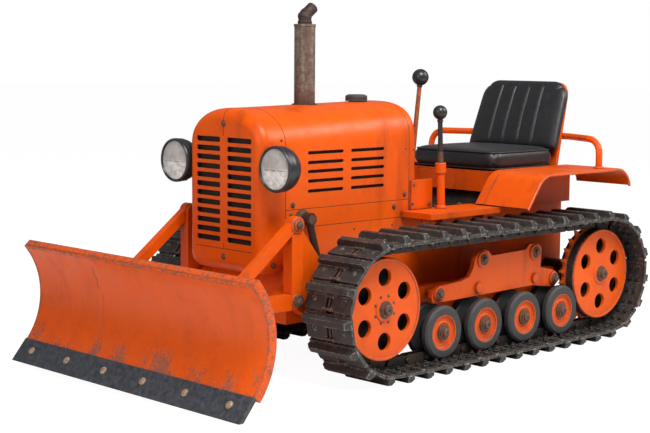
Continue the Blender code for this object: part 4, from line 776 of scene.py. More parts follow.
def roller(label, side, number):
    name = "roller_%s_%d" % (label, number)
    low, high = local_box(name)
    out = (0, side, 0)
    radius = (high.x - low.x) / 2
    cap_end = high.y if side > 0 else -low.y
    inner = low.y if side > 0 else -high.y
    face = cap_end - 0.014
    centre_x = (low.x + high.x) / 2
    centre_z = low.z + radius
    centre = (centre_x, side * face, centre_z)
    piece = Piece(name + "_wheel", instead=[name])
    piece.lathe([(0.0715, -0.012), (0.0715, -0.002), (0.0745, 0), (radius - 0.009, 0),
                 (radius, -0.008), (radius, -0.027), (radius - 0.004, -0.031), (0.062, -0.031)],
                centre, out, RUBBER, 56, 0.002)
    piece.lathe([(0, -0.012), (0.036, -0.012), (0.040, -0.0085), (0.044, -0.012), (0.060, -0.0135),
                 (0.0655, -0.010), (0.0670, -0.0025), (0.0725, -0.0025), (0.0725, -0.010)], centre,
                out, ORANGE_WORN, 56, 0.0012)
    piece.lathe([(0.058, -0.031), (0.058, -0.084)], centre, out, LINK_STEEL, 32, 0)
    piece.lathe([(0.058, -0.084), (radius - 0.004, -0.084), (radius, -0.088), (radius, -0.111),
                 (radius - 0.006, -0.115), (0.030, -0.115), (0.030, -(face - inner)),
                 (0, -(face - inner))], centre, out, RUBBER, 48, 0.0015)
    piece.lathe([(0, 0.0138), (0.0135, 0.0138), (0.0175, 0.0105), (0.0175, 0.0035),
                 (0.0235, 0.0025), (0.0235, -0.0035), (0.0310, -0.0045), (0.0310, -0.012),
                 (0, -0.012)], centre, out, RUSTY, 32, 0.001)
    piece.lathe(disc(0.006, 0.012, 0.0143), centre, out, DARK_RUST, 12, 0.0004)
    piece.done()


BOSSES = ((0.330, 0.301, 0.030), (0.058, 0.416, 0.036), (-0.287, 0.416, 0.036),
          (-0.421, 0.290, 0.030))
SMALL_BOSSES = ((0.085, 0.302), (-0.290, 0.302))


def side_frame(label, side):
    low, high = local_box("track_frame_" + label)
    boss_end = high.y if side > 0 else -low.y
    plate = boss_end - 0.012
    out = (0, side, 0)
    piece = Piece("frame_bolts_" + label)
    for x, z, radius in BOSSES:
        piece.lathe([(0.020, 0.009), (radius - 0.005, 0.009), (radius - 0.001, 0.006),
                     (radius, -0.002), (0.020, -0.002)], (x, side * plate, z), out, ORANGE_WORN, 40,
                    0.0012)
        piece.lathe([(0.0245, 0.0085), (0.0245, 0.0100), (0.0215, 0.0135), (0, 0.0135)],
                    (x, side * plate, z), out, RUSTY, 32, 0.0008)
        piece.bolt((x, side * (boss_end + 0.0012), z), out, 0.0135, RUSTY, 1.25, 0.75, 12)
    for x, z in SMALL_BOSSES:
        piece.lathe([(0, 0.0145), (0.0085, 0.0145), (0.0125, 0.0125), (0.0200, 0.0125),
                     (0.0225, 0.0100), (0.0225, -0.001)], (x, side * plate, z), out, ORANGE_WORN,
                    28, 0.001)
    piece.done()


def make_running_gear():
    for label, side in SIDES:
        wheel(label, side, "idler", AXLE_HALF, False)
        wheel(label, side, "sprocket", -AXLE_HALF, True)
        for number in range(1, 5):
            roller(label, side, number)
        side_frame(label, side)


# ---------------------------------------------------------------- hood, nose and cowl
def crown(half, rise, power, steps=24):
    """Upper outline from the right side over the top to the left side."""
    points = []
    for step in range(2 * steps + 1):
        angle = math.pi * (1 - step / (2 * steps))
        across = math.copysign(abs(math.cos(angle)) ** (2 / power), math.cos(angle))
        up = abs(math.sin(angle)) ** (2 / power)
        points.append((half * across, SIDE_TOP + rise * up))
    return points


def crown_top(x):
    share = (NOSE_LOW.x - x) / (NOSE_LOW.x - COWL_HIGH.x)
    return SIDE_TOP + CROWN_FRONT + (CROWN_REAR - CROWN_FRONT) * share


def solid_between(rows):
    """Closed skin through rings of equally many points."""
    part = bmesh.new()
    rings = [[part.verts.new(point) for point in ring] for ring in rows]
    count = len(rings[0])
    for first, second in zip(rings, rings[1:] + rings[:1]):
        for index in range(count - 1):
            part.faces.new((first[index], first[index + 1], second[index + 1], second[index]))
    for end in (0, count - 1):
        part.faces.new([ring[end] for ring in rings])
    bmesh.ops.recalc_face_normals(part, faces=part.faces)
    return part


def carve(part, cutter):
    """First shape minus the second."""
    things = []
    for source in (part, cutter):
        mesh = bpy.data.meshes.new("carving")
        source.to_mesh(mesh)
        source.free()
        thing = bpy.data.objects.new("carving", mesh)
        bpy.context.scene.collection.objects.link(thing)
        things.append(thing)
    cut = things[0].modifiers.new("cut", "BOOLEAN")
    cut.operation = "DIFFERENCE"
    cut.solver = "EXACT"
    cut.object = things[1]
    bpy.context.view_layer.update()
    evaluated = things[0].evaluated_get(bpy.context.evaluated_depsgraph_get())
    mesh = bpy.data.meshes.new_from_object(evaluated)
    for thing in things:
        bpy.data.objects.remove(thing)
    carved = bmesh.new()
    carved.from_mesh(mesh)
    bpy.data.meshes.remove(mesh)
    return carved


def slots(outlines, axis, low, high):
    """Cutters pressed out of flat outlines."""
    holder = Piece("cutters")
    for outline in outlines:
        holder.plate([outline], axis, low, high, SEAM_AND_SHADE, 0)
    return holder.solid


LOUVRE_ZS = (0.876, 0.838, 0.803, 0.766, 0.727)
LOUVRE_COLUMNS = ((0.624, 0.817), (0.392, 0.581))


def make_hood():
    sheet = 0.005
    front = HOOD_HIGH.x - 0.0012
    rear = HOOD_LOW.x + 0.0012
    bottom = BAND_TOP + 0.0008
    outer, inner = [], []
    for step in range(9):
        x = front + (rear - front) * step / 8
        share = (HOOD_HIGH.x - x) / (HOOD_HIGH.x - HOOD_LOW.x)
        rise = CROWN_FRONT + (CROWN_REAR - CROWN_FRONT) * share
        power = 2.2 + 0.5 * share
        section = [(-HALF, bottom)] + crown(HALF, rise, power) + [(HALF, bottom)]
        under = [(-HALF + sheet, bottom)] + crown(HALF - sheet, rise - sheet,
                                                  power) + [(HALF - sheet, bottom)]
        outer.append([(x, y, z) for y, z in section])
        inner.append([(x, y, z) for y, z in under])
    shell = solid_between(outer + inner[::-1])
    louvres = []
    for rear_x, front_x in LOUVRE_COLUMNS:
        for z in LOUVRE_ZS:
            louvres.append(fillet([(rear_x, z - 0.0065), (front_x, z - 0.0065),
                                   (front_x, z + 0.0065), (rear_x, z + 0.0065)], 0.0062, 4, True))
    shell = carve(shell, slots(louvres, "y", -HALF - 0.02, HALF + 0.02))
    hood = Piece("hood_panel", instead=["hood"])
    hood.take(shell, ORANGE_BODY)
    hood.done()
    # Dark seams at the hood's ends and sides, and a painted-shade box inside it.
    dark = Piece("hood_seams_and_shade")
    for x, share in ((HOOD_HIGH.x, 0.0), (HOOD_LOW.x, 1.0)):
        rise = CROWN_FRONT + (CROWN_REAR - CROWN_FRONT) * share
        rows = []
        for inset, reach in ((0.0016, -0.009), (0.0016, 0.009), (0.010, 0.009), (0.010, -0.009)):
            section = crown(HALF - inset, rise - inset, 2.2 + 0.5 * share)
            section = [(-HALF + inset, BAND_TOP)] + section + [(HALF - inset, BAND_TOP)]
            rows.append([(x + reach, y, z) for y, z in section])
        dark.take(solid_between(rows), SEAM_AND_SHADE)
    # Painted shade: a dark box filling the hood behind the louvres, standing in for its shaded
    # inside.
    dark.block((HOOD_LOW.x + 0.03, -HALF + 0.012, 0.700), (HOOD_HIGH.x - 0.03, HALF - 0.012, 0.900),
               SEAM_AND_SHADE, 0.002)
    for side in (1, -1):
        low, high = span(side, HALF - 0.006, HALF + 0.0004)
        dark.block((HOOD_LOW.x, low, BAND_TOP - 0.0009), (HOOD_HIGH.x, high, BAND_TOP + 0.0009),
                   SEAM_AND_SHADE, 0.0002)
        dark.block((HOOD_LOW.x, low, 0.5874), (HOOD_HIGH.x, high, 0.5892), SEAM_AND_SHADE, 0.0002)
        dark.block((HOOD_LOW.x - 0.0010, low, 0.614), (HOOD_LOW.x + 0.0008, high, BAND_TOP), SEAM_AND_SHADE,
                   0.0002)
        dark.block((HOOD_HIGH.x - 0.0009, low, 0.588), (HOOD_HIGH.x + 0.0009, high, BAND_TOP), SEAM_AND_SHADE,
                   0.0002)
    dark.done()


def inset_outline(outline, distance):
    """Closed outline moved inwards, corner by corner."""
    moved = []
    count = len(outline)
    for index, (y, z) in enumerate(outline):
        before = Vector(outline[index - 1])
        after = Vector(outline[(index + 1) % count])
        way = (after - before).normalized()
        moved.append((y + way.y * distance, z - way.x * distance))
    return moved


def cap_skin(outline, open_x, closed_x, edge, sheet):
    """Hollow cap: straight walls, a rounded edge and a flat face."""
    sign = 1 if closed_x > open_x else -1
    part = bmesh.new()
    rings = []

    def ring(inset, x):
        rings.append([part.verts.new((x, y, z)) for y, z in inset_outline(outline, inset)])

    ring(sheet, open_x)
    ring(0, open_x)
    ring(0, closed_x - sign * edge)
    for step in range(1, 9):
        angle = math.radians(90 * step / 8)
        ring(edge * (1 - math.cos(angle)), closed_x - sign * edge * (1 - math.sin(angle)))
    outer_face = rings[-1]
    back = []
    for step in range(8, -1, -1):
        angle = math.radians(90 * step / 8)
        back.append((sheet + (edge - sheet) * (1 - math.cos(angle)),
                     closed_x - sign * (sheet + (edge - sheet) * (1 - math.sin(angle)))))
    inner_first = len(rings)
    for inset, x in back:
        ring(inset, x)
    inner_face = rings[inner_first]
    count = len(outline)
    spans = list(zip(rings[:inner_first], rings[1:inner_first]))
    spans += list(zip(rings[inner_first:], rings[inner_first + 1:]))
    spans.append((rings[-1], rings[0]))
    for first, second in spans:
        for index in range(count):
            ahead = (index + 1) % count
            part.faces.new((first[index], first[ahead], second[ahead], second[index]))
    part.faces.new(outer_face)
    part.faces.new(inner_face[::-1])
    bmesh.ops.recalc_face_normals(part, faces=part.faces)
    return part


SLOT_ROWS = 12
SLOT_BOTTOM, SLOT_TOP = 0.527, 0.936
SLOT_SHARE = 0.60
NOSE_EDGE = 0.045                             # rounding of the nose's front edge


def make_nose():
    corner = 0.060
    bottom = NOSE_LOW.z
    low_left = ring_points((HALF - corner, bottom + corner), corner, 10, 0, -90)
    low_right = ring_points((-HALF + corner, bottom + corner), corner, 10, -90, -180)
    outline = crown(HALF, CROWN_FRONT, 2.2) + low_left + low_right
    shell = cap_skin(outline, NOSE_LOW.x + 0.0012, NOSE_HIGH.x, NOSE_EDGE, 0.006)
    pitch = (SLOT_TOP - SLOT_BOTTOM) / (SLOT_ROWS - 1 + SLOT_SHARE)
    openings = []
    for row in range(SLOT_ROWS):
        low = SLOT_BOTTOM + row * pitch
        high = low + pitch * SLOT_SHARE
        for side in (1, -1):
            inner, outer = span(side, 0.021, 0.163)
            openings.append(fillet([(inner, low), (outer, low), (outer, high), (inner, high)],
                                   0.0065, 3, True))
    shell = carve(shell, slots(openings, "x", NOSE_HIGH.x - 0.03, NOSE_HIGH.x + 0.02))
    nose = Piece("nose_shell", instead=["grille_shell"])
    nose.take(shell, ORANGE_BODY)
    for row in range(SLOT_ROWS):
        low = SLOT_BOTTOM + row * pitch
        high = low + pitch * SLOT_SHARE
        for side in (1, -1):
            inner, outer = span(side, 0.020, 0.164)
            nose.block((NOSE_HIGH.x - 0.024, inner, high - 0.001),
                       (NOSE_HIGH.x - 0.0015, outer, high + 0.002), ORANGE_BODY, 0.0008)
    face = NOSE_HIGH.x
    seam = [(face - 0.0003, 0, z) for z in (0.940, 0.980, crown_top(NOSE_LOW.x) - NOSE_EDGE)]
    for degrees in range(8, 91, 8):
        angle = math.radians(degrees)
        seam.append((face - NOSE_EDGE + 0.0447 * math.cos(angle), 0,
                     NOSE_HIGH.z - NOSE_EDGE + 0.0447 * math.sin(angle)))
    nose.tube(seam + [(NOSE_LOW.x + 0.002, 0, NOSE_HIGH.z - 0.0003)], 0.0011, SEAM_AND_SHADE, 2)
    nose.tube([(face - 0.0002, y, 0.5010) for y in (-0.165, 0.165)], 0.0010, SEAM_AND_SHADE, 2)
    nose.tube([(face - 0.0002, 0, z) for z in (0.501, 0.522)], 0.0010, SEAM_AND_SHADE, 2)
    nose.bolt((face - 0.0005, 0, 0.988), (1, 0, 0), 0.0085)
    nose.bolt((face - 0.0005, 0, 0.470), (1, 0, 0), 0.0085)
    for side in (1, -1):
        nose.bolt((NOSE_HIGH.x - 0.060, side * HALF, 0.452), (0, side, 0), 0.0075)
        nose.dome((NOSE_LOW.x + 0.020, side * HALF, 0.930), (0, side, 0), 0.0045)
    nose.done()
    core = Piece("radiator_mesh")
    core.block((NOSE_HIGH.x - 0.030, -0.176, 0.505), (NOSE_HIGH.x - 0.020, 0.176, 0.960), MESH,
               0.002)
    core.done()


def make_cowl():
    bottom = COWL_LOW.z
    outline = [(-HALF, bottom)] + crown(HALF, CROWN_REAR, 2.7) + [(HALF, bottom)]
    cowl = Piece("cowl_panel", instead=["cowl"])
    cowl.take(cap_skin(outline, COWL_HIGH.x - 0.0010, COWL_LOW.x, 0.022, 0.008), ORANGE_BODY)
    for side in (1, -1):
        low, high = span(side, HALF - 0.004, HALF + 0.010)
        cowl.block((0.106, low, 0.614), (0.236, high, 0.738), ORANGE, 0.003)
        for x, z in ((0.222, 0.718), (0.228, 0.640)):
            cowl.dome((x, side * (HALF + 0.0100), z), (0, side, 0), 0.0070)
        cowl.dome((COWL_LOW.x + 0.018, side * HALF, 0.864), (0, side, 0), 0.0045)
    for z in (0.70, 0.84):
        for y in (-0.16, 0.16):
            cowl.dome((COWL_LOW.x, y, z), (-1, 0, 0), 0.006)
    cowl.lathe([(0, 0.010), (0.036, 0.010), (0.040, 0.006), (0.040, -0.002), (0, -0.002)],
               (COWL_LOW.x, 0.07, 0.900), (-1, 0, 0), BLACK, 32, 0.001)
    cowl.lathe(disc(0.032, 0.008, 0.0108), (COWL_LOW.x, 0.07, 0.900), (-1, 0, 0), GLASS,
               32, 0.0005)
    cowl.done()


def make_hood_bolts():
    piece = Piece("hood_bolts")
    for side in (1, -1):
        out = (0, side, 0)
        face = side * HALF
        for x, z, radius in ((0.896, 0.678, 0.0078), (0.268, 0.682, 0.0075), (0.331, 0.634, 0.0075),
                             (0.905, 0.640, 0.0060)):
            piece.bolt((x, face, z), out, radius)
        for x, z in ((0.918, 0.872), (0.262, 0.870), (0.560, 0.560), (0.340, 0.560),
                     (0.160, 0.560)):
            piece.dome((x, face, z), out, 0.0050)
        piece.bolt((0.128, side * (HALF + 0.010), 0.634), out, 0.0060)
    piece.done()


# ---------------------------------------------------------------- lamps, exhaust, cap
def make_lamps():
    for label, side in SIDES:
        name = "headlamp_" + label
        low, high = local_box(name)
        radius = (high.z - low.z) / 2
        centre_z = (low.z + high.z) / 2
        rim_y = high.y if side > 0 else low.y
        centre = (high.x - 0.006, rim_y - side * radius, centre_z)
        ahead = (1, 0, 0)
        piece = Piece(name + "_lamp", instead=[name])
        piece.lathe([(radius - 0.0115, -0.003), (radius - 0.0095, 0.0015), (radius - 0.006, 0.0035),
                     (radius - 0.002, 0.0015), (radius, -0.004), (radius, -0.016),
                     (radius - 0.002, -0.0185), (radius - 0.001, -0.021), (radius - 0.0015, -0.036),
                     (radius - 0.008, -0.058), (radius - 0.024, -0.078), (0.036, -0.091),
                     (0, -0.096)], centre, ahead, BLACK, 64, 0.0012)
        lens = radius - 0.0100
        piece.lathe([(0, 0.0055), (lens * 0.35, 0.0048), (lens * 0.65, 0.0022),
                     (lens * 0.88, -0.0012), (lens, -0.0035)], centre, ahead, GLASS, 64, 0)
        near_y, far_y = span(side, HALF + 0.0005, HALF + 0.03)
        piece.block((centre[0] - 0.070, near_y, centre_z - 0.012),
                    (centre[0] - 0.046, far_y, centre_z + 0.012), BLACK, 0.002)
        piece.bolt((centre[0] - 0.058, centre[1], centre_z - radius + 0.010), (0, 0, -1), 0.008,
                   RUSTY, 1.3)
        piece.done()


def make_exhaust():
    low, high = local_box("exhaust_stack")
    centre_x = (low.x + high.x) / 2
    radius = (high.x - low.x) / 2 - 0.0025
    top = high.z
    base = low.z
    stack = Piece("exhaust_pipe", instead=["exhaust_stack"])
    stack.lathe([(0, top), (radius - 0.004, top), (radius + 0.0023, top - 0.001),
                 (radius + 0.0023, top - 0.010), (radius, top - 0.012), (radius, base), (0, base)],
                (centre_x, 0, 0), (0, 0, 1), EXHAUST, 56, 0.0012)
    seat = crown_top(centre_x)
    stack.lathe([(radius, seat + 0.004), (radius + 0.009, seat + 0.002),
                 (radius + 0.010, seat - 0.004), (radius, seat - 0.004)], (centre_x, 0, 0),
                (0, 0, 1), DARK_RUST, 48, 0.001)
    stack.done()
    tip = Piece("exhaust_elbow", instead=["exhaust_tip"])
    tip.lathe([(0, top + 0.034), (0.0235, top + 0.034), (0.0265, top + 0.030),
               (0.0265, top + 0.012), (0.0290, top + 0.010), (0.0290, top), (0, top)],
              (centre_x, 0, 0), (0, 0, 1), DARK_RUST, 40, 0.0015)
    rise = math.radians(37)
    aim = Vector((-math.cos(rise), 0, math.sin(rise)))
    start = Vector((centre_x + 0.016, 0, top + 0.022))
    tip.lathe([(0, 0.076), (0.0185, 0.040), (0.0185, 0.076), (0.0215, 0.0765), (0.0238, 0.074),
               (0.0240, 0.004), (0.020, -0.002), (0, -0.002)][1:], start, aim, DARK_RUST, 40,
              0.0012)
    tip.lathe([(0, 0.044), (0.0187, 0.044)], start, aim, SEAM_AND_SHADE, 24, 0)
    tip.lathe([(0.0258, 0.034), (0.0258, 0.022), (0.0240, 0.020), (0.0240, 0.036)], start, aim,
              DARK_RUST, 40, 0.0008)
    tip.done()


def make_cap():
    low, high = local_box("fuel_cap")
    centre = ((low.x + high.x) / 2, 0, 0)
    radius = (high.x - low.x) / 2
    top = high.z
    seat = top - 0.028
    cap = Piece("fuel_cap_turned", instead=["fuel_cap"])
    cap.lathe([(0, top - 0.003), (0.020, top - 0.003), (0.024, top), (radius - 0.012, top),
               (radius - 0.004, top - 0.004), (radius - 0.003, top - 0.009),
               (radius - 0.004, seat + 0.006), (radius, seat + 0.005), (radius, seat + 0.001),
               (0.030, seat), (0.030, low.z), (0, low.z)], centre, (0, 0, 1), CAP_GREY, 56, 0.0010)
    for rib in range(28):
        angle = 2 * math.pi * rib / 28
        turn = Matrix.Translation(centre) @ Matrix.Rotation(angle, 4, "Z")
        cap.block((radius - 0.007, -0.0016, seat + 0.006), (radius - 0.0008, 0.0016, top - 0.006),
                  CAP_GREY, 0.0007, turn)
    cap.done()


# ---------------------------------------------------------------- levers
def ball(piece, centre, radius, finish):
    piece.lathe([(radius * math.sin(math.radians(angle)), radius * math.cos(math.radians(angle)))
                 for angle in range(0, 181, 6)], centre, (0, 0, 1), finish, 40, 0)


STEERING_Y = 0.270


def make_levers():
    low, high = local_box("steering_lever")
    knob = 0.030
    head = Vector((0.107, STEERING_Y, high.z - knob))
    foot = Vector((0.092, STEERING_Y, low.z))
    way = (head - foot).normalized()
    piece = Piece("steering_lever_rod", instead=["steering_lever"])
    ball(piece, head, knob, BLACK)

    def up(z):
        return foot + way * ((z - foot.z) / way.z)

    piece.lathe([(0, 0.014), (0.010, 0.014), (0.0125, 0.008), (0.0125, 0)],
                head - way * (knob + 0.010), way, BLACK, 24, 0.001)
    piece.lathe([(0.0098, 0.090), (0.0105, 0)], up(head.z - knob - 0.090), way, BLACK, 24, 0)
    piece.lathe([(0.0105, (up(head.z - knob - 0.088) - up(0.800)).length), (0.0112, 0)], up(0.800),
                way, DARK_RUST, 24, 0)
    piece.lathe([(0.0118, 0.047), (0.0125, 0)], up(0.805), way, RUSTY, 24, 0.0005)
    piece.lathe([(0, 0.045), (0.0215, 0.045), (0.0228, 0.042), (0.0228, 0.004), (0.0210, 0),
                 (0, 0)], up(0.762), way, ORANGE_WORN, 36, 0.0012)
    piece.lathe([(0.0168, 0.764 - low.z), (0.0168, 0.016), (0.0210, 0.012), (0.0230, 0.004),
                 (0.0230, 0), (0, 0)], foot, way, ORANGE_WORN, 36, 0.0015)
    piece.done()

    low, high = local_box("gear_lever")
    knob = 0.0362
    head = Vector((-0.064, 0, high.z - knob))
    foot = Vector((0.006, 0, low.z))
    way = (head - foot).normalized()
    length = (head - foot).length
    piece = Piece("gear_lever_rod", instead=["gear_lever"])
    ball(piece, head, knob, BLACK)
    piece.lathe([(0.0095, length - knob + 0.004), (0.0120, 0.030), (0.0240, 0.012), (0.0250, 0),
                 (0, 0)], foot, way, rusty_steel("lever_rust", srgb(176, 92, 44), srgb(120, 66, 38),
                                                 50), 28, 0.002)
    piece.lathe([(0.0120, 0.010), (0.0125, 0)], head - way * (knob + 0.006), way, BLACK, 24, 0.001)
    piece.done()


# ---------------------------------------------------------------- blade
ARC_X, ARC_Z, ARC_R = 1.734, 0.290, 0.293     # of the concave face, seen from the side
ARC_TOP, ARC_FOOT = 41.0, 39.5                # degrees above and below level
FLANGE_DEPTH = 0.034
BLADE_HALF = local_box("moldboard")[1].y


def blade_point(angle, lift=0.0):
    """Point in x and z on the blade's face, by degrees above level; lift is towards the front."""
    turned = math.radians(180 - angle)
    return (ARC_X + (ARC_R - lift) * math.cos(turned), ARC_Z + (ARC_R - lift) * math.sin(turned))


def blade_band(low_angle, high_angle, near, far, steps=40):
    """Closed outline between two depths behind the face; near and far are towards the back."""
    angles = [low_angle + (high_angle - low_angle) * step / steps for step in range(steps + 1)]
    front = [blade_point(angle, -near) for angle in angles]
    return front + [blade_point(angle, -far) for angle in reversed(angles)]


def make_blade():
    board = Piece("blade_board", "blade", ["moldboard"])
    depth = FLANGE_DEPTH
    lip = math.degrees(0.012 / ARC_R)
    board.plate([blade_band(-ARC_FOOT, ARC_TOP, 0, 0.010, 60)], "y", -BLADE_HALF + 0.004,
                BLADE_HALF - 0.004, ORANGE_BLADE, 0.0012)
    for side in (1, -1):
        board.plate([blade_band(-ARC_FOOT, ARC_TOP, -0.0006, depth, 48)], "y",
                    *span(side, BLADE_HALF - 0.013, BLADE_HALF), ORANGE_FLANGE, 0.002)
        board.plate([blade_band(-ARC_FOOT + lip, ARC_TOP - lip, 0.008, depth - 0.0005, 24)], "y",
                    *span(side, 0.297, 0.339), ORANGE, 0.001)
    inner = BLADE_HALF - 0.0128
    board.plate([blade_band(ARC_TOP - lip, ARC_TOP, -0.0006, depth, 4)], "y", -inner, inner,
                ORANGE_FLANGE, 0.001)
    board.plate([blade_band(-ARC_FOOT, -ARC_FOOT + lip, 0.002, depth, 4)], "y", -inner, inner,
                ORANGE, 0.001)
    board.done()
    marks = Piece("blade_scrapes", "blade")
    for y, start, end, width in SCRATCHES:
        path = []
        for step in range(9):
            angle = start + (end - start) * step / 8
            x, z = blade_point(angle, -0.0003)
            path.append((x, y + width * math.sin(step * 1.7) * 0.3, z))
        marks.tube(path, 0.0008 + width * 0.05, SCRAPED, 1)
    marks.done()
    bolts = Piece("edge_bolts", "blade")
    slope = math.radians(90 - ARC_FOOT)
    along = Vector((math.cos(slope), 0, -math.sin(slope)))
    normal = Vector((math.sin(slope), 0, math.cos(slope)))
    top_x, top_z = blade_point(-ARC_FOOT)
    for y in EDGE_BOLTS:
        centre = Vector((top_x, y, top_z)) + normal * 0.0042 + along * 0.048
        bolts.lathe([(0.0165, 0.0008), (0.0190, -0.001)], centre, normal, DARK_RUST, 24, 0)
        bolts.dome(centre, normal, 0.0160, PALE_BOLT, 0.55, 24)
    bolts.done()


EDGE_BOLTS = (-0.610, -0.366, -0.122, 0.122, 0.366, 0.610)
SCRATCHES = ((-0.28, 30, 12, 0.02), (-0.26, 8, -28, 0.006))


# ---------------------------------------------------------------- push frame
POST_X = 0.974                                # both pins of a post
BRACE_PIN_Z = 0.617
PIVOT_Z = 0.327
WELD_BEADS = 14


def make_push_frame():
    for label, side in SIDES:
        out = (0, side, 0)
        bar_out = local_box("push_arm_" + label)[1].y if side > 0 else -local_box("push_arm_" +
                                                                                  label)[0].y
        piece = Piece("push_frame_bolts_" + label, "blade")
        pin = (POST_X, side * bar_out, BRACE_PIN_Z)
        piece.lathe([(0.0175, 0.0045), (0.0300, 0.0045), (0.0325, 0.0020), (0.0330, -0.001),
                     (0.0175, -0.001)], pin, out, ORANGE_WORN, 40, 0.001)
        piece.lathe([(0, 0.0085), (0.0225, 0.0085), (0.0245, 0.0065), (0.0245, 0.0010),
                     (0, 0.0010)], pin, out, RUSTY, 32, 0.0008)
        piece.bolt((pin[0], side * (bar_out + 0.0085), pin[2]), out, 0.0145, RUSTY, 1.2, 0.7, 6)
        piece.lathe([(0.0180, 0.0035), (0.0270, 0.0035), (0.0285, 0.0010), (0.0285, -0.001),
                     (0.0180, -0.001)], (POST_X, side * bar_out, PIVOT_Z), out, ORANGE_WORN, 40,
                    0.001)
        for bead in range(WELD_BEADS):
            z = 0.390 + bead * 0.013
            piece.dome((POST_X + 0.0285, side * (bar_out - 0.0005), z), (1, side, 0), 0.0013,
                       ORANGE, 0.6, 6)
        foot_y = span(side, bar_out - 0.046, bar_out + 0.008)
        piece.block((1.272, foot_y[0], 0.355), (1.318, foot_y[1], 0.366), ORANGE_WORN, 0.003)
        piece.bolt((1.300, side * (bar_out + 0.002), 0.366), (0, 0, 1), 0.007, RUSTY)
        piece.done()
        pivot = Piece("pivot_bolts_" + label)
        centre = (POST_X, side * (bar_out + 0.0100), PIVOT_Z)
        pivot.lathe([(0, 0.0015), (0.0240, 0.0015), (0.0255, -0.001), (0.0255, -0.006),
                     (0, -0.006)], centre, out, RUSTY, 32, 0.0008)
        pivot.bolt((POST_X, side * (bar_out + 0.0112), PIVOT_Z), out, 0.0145, RUSTY, 1.2, 0.65, 6)
        low, high = local_box("lift_bracket_" + label)
        end = high.y if side > 0 else -low.y
        middle = (low + high) / 2
        room = local_box("post_left")[0].y - end - 0.0015
        pivot.lathe([(0, room), (0.0125, room), (0.0160, room - 0.002), (0.0180, room - 0.004),
                     (0.0180, room - 0.008), (0, room - 0.008)], (middle.x, side * end, middle.z),
                    out, RUSTY, 32, 0.0010)
        pivot.lathe([(0.0180, -0.0008), (0.0235, -0.0008), (0.0235, -0.0030), (0.0180, -0.0030)],
                    (middle.x, side * end, middle.z), out, DARK_RUST, 32, 0.0005)
        pivot.done()


# ---------------------------------------------------------------- seat
def round_corners(part, half_x, half_y, corner, low_too):
    """Rounds a flat pad's corners in plan: all four, or only the two at high y."""
    for vertex in part.verts:
        over_x = abs(vertex.co.x) - (half_x - corner)
        over_y = (abs(vertex.co.y) if low_too else vertex.co.y) - (half_y - corner)
        if over_x <= 0 or over_y <= 0:
            continue
        scale = max(over_x, over_y) / math.hypot(over_x, over_y)
        vertex.co.x = math.copysign(half_x - corner + over_x * scale, vertex.co.x)
        vertex.co.y = math.copysign(half_y - corner + over_y * scale, vertex.co.y)


def pillow(width, depth, thick, crown_rise, grooves=(), rows=48, columns=64, plump=9):
    """Stuffed pad lying flat: x across, y along, its underside at z = 0."""
    part = bmesh.new()
    levels = []

    def rim(value):
        return math.copysign(1 - (1 - abs(value)) ** 1.6, value)

    def grid(top):
        plane = []
        for row in range(rows + 1):
            v = rim(2 * row / rows - 1)
            line = []
            for column in range(columns + 1):
                u = rim(2 * column / columns - 1)
                x, y = u * width / 2, v * depth / 2
                shape = (max(0.0, 1 - abs(u) ** plump) ** 0.42) * (max(0.0,
                                                                       1 - abs(v) ** plump) ** 0.42)
                swell = crown_rise * (1 - u * u) * (1 - v * v)
                half = thick / 2
                if top:
                    z = half + half * shape + swell
                    for middle, wide, deep in grooves:
                        fade = max(0.0, 1 - abs(v) ** 8)
                        z -= deep * fade * math.exp(-((x - middle) / wide) ** 2)
                else:
                    z = half - half * shape
                line.append(part.verts.new((x, y, z)))
            plane.append(line)
        levels.append(plane)
        return plane

    upper, lower = grid(True), grid(False)
    for row in range(rows):
        for column in range(columns):
            part.faces.new((upper[row][column], upper[row][column + 1], upper[row + 1][column + 1],
                            upper[row + 1][column]))
            part.faces.new((lower[row][column], lower[row + 1][column], lower[row + 1][column + 1],
                            lower[row][column + 1]))
    bmesh.ops.remove_doubles(part, verts=part.verts, dist=0.0002)
    bmesh.ops.recalc_face_normals(part, faces=part.faces)
    return part


PIPING = 0.0028
SEAM_YS = (-0.126, -0.042, 0.042, 0.126)
BACK_TAPER = 0.060                            # how much narrower the back is at its top
BACK_RISE = 0.009                             # how far the stuffed back stands over its shell


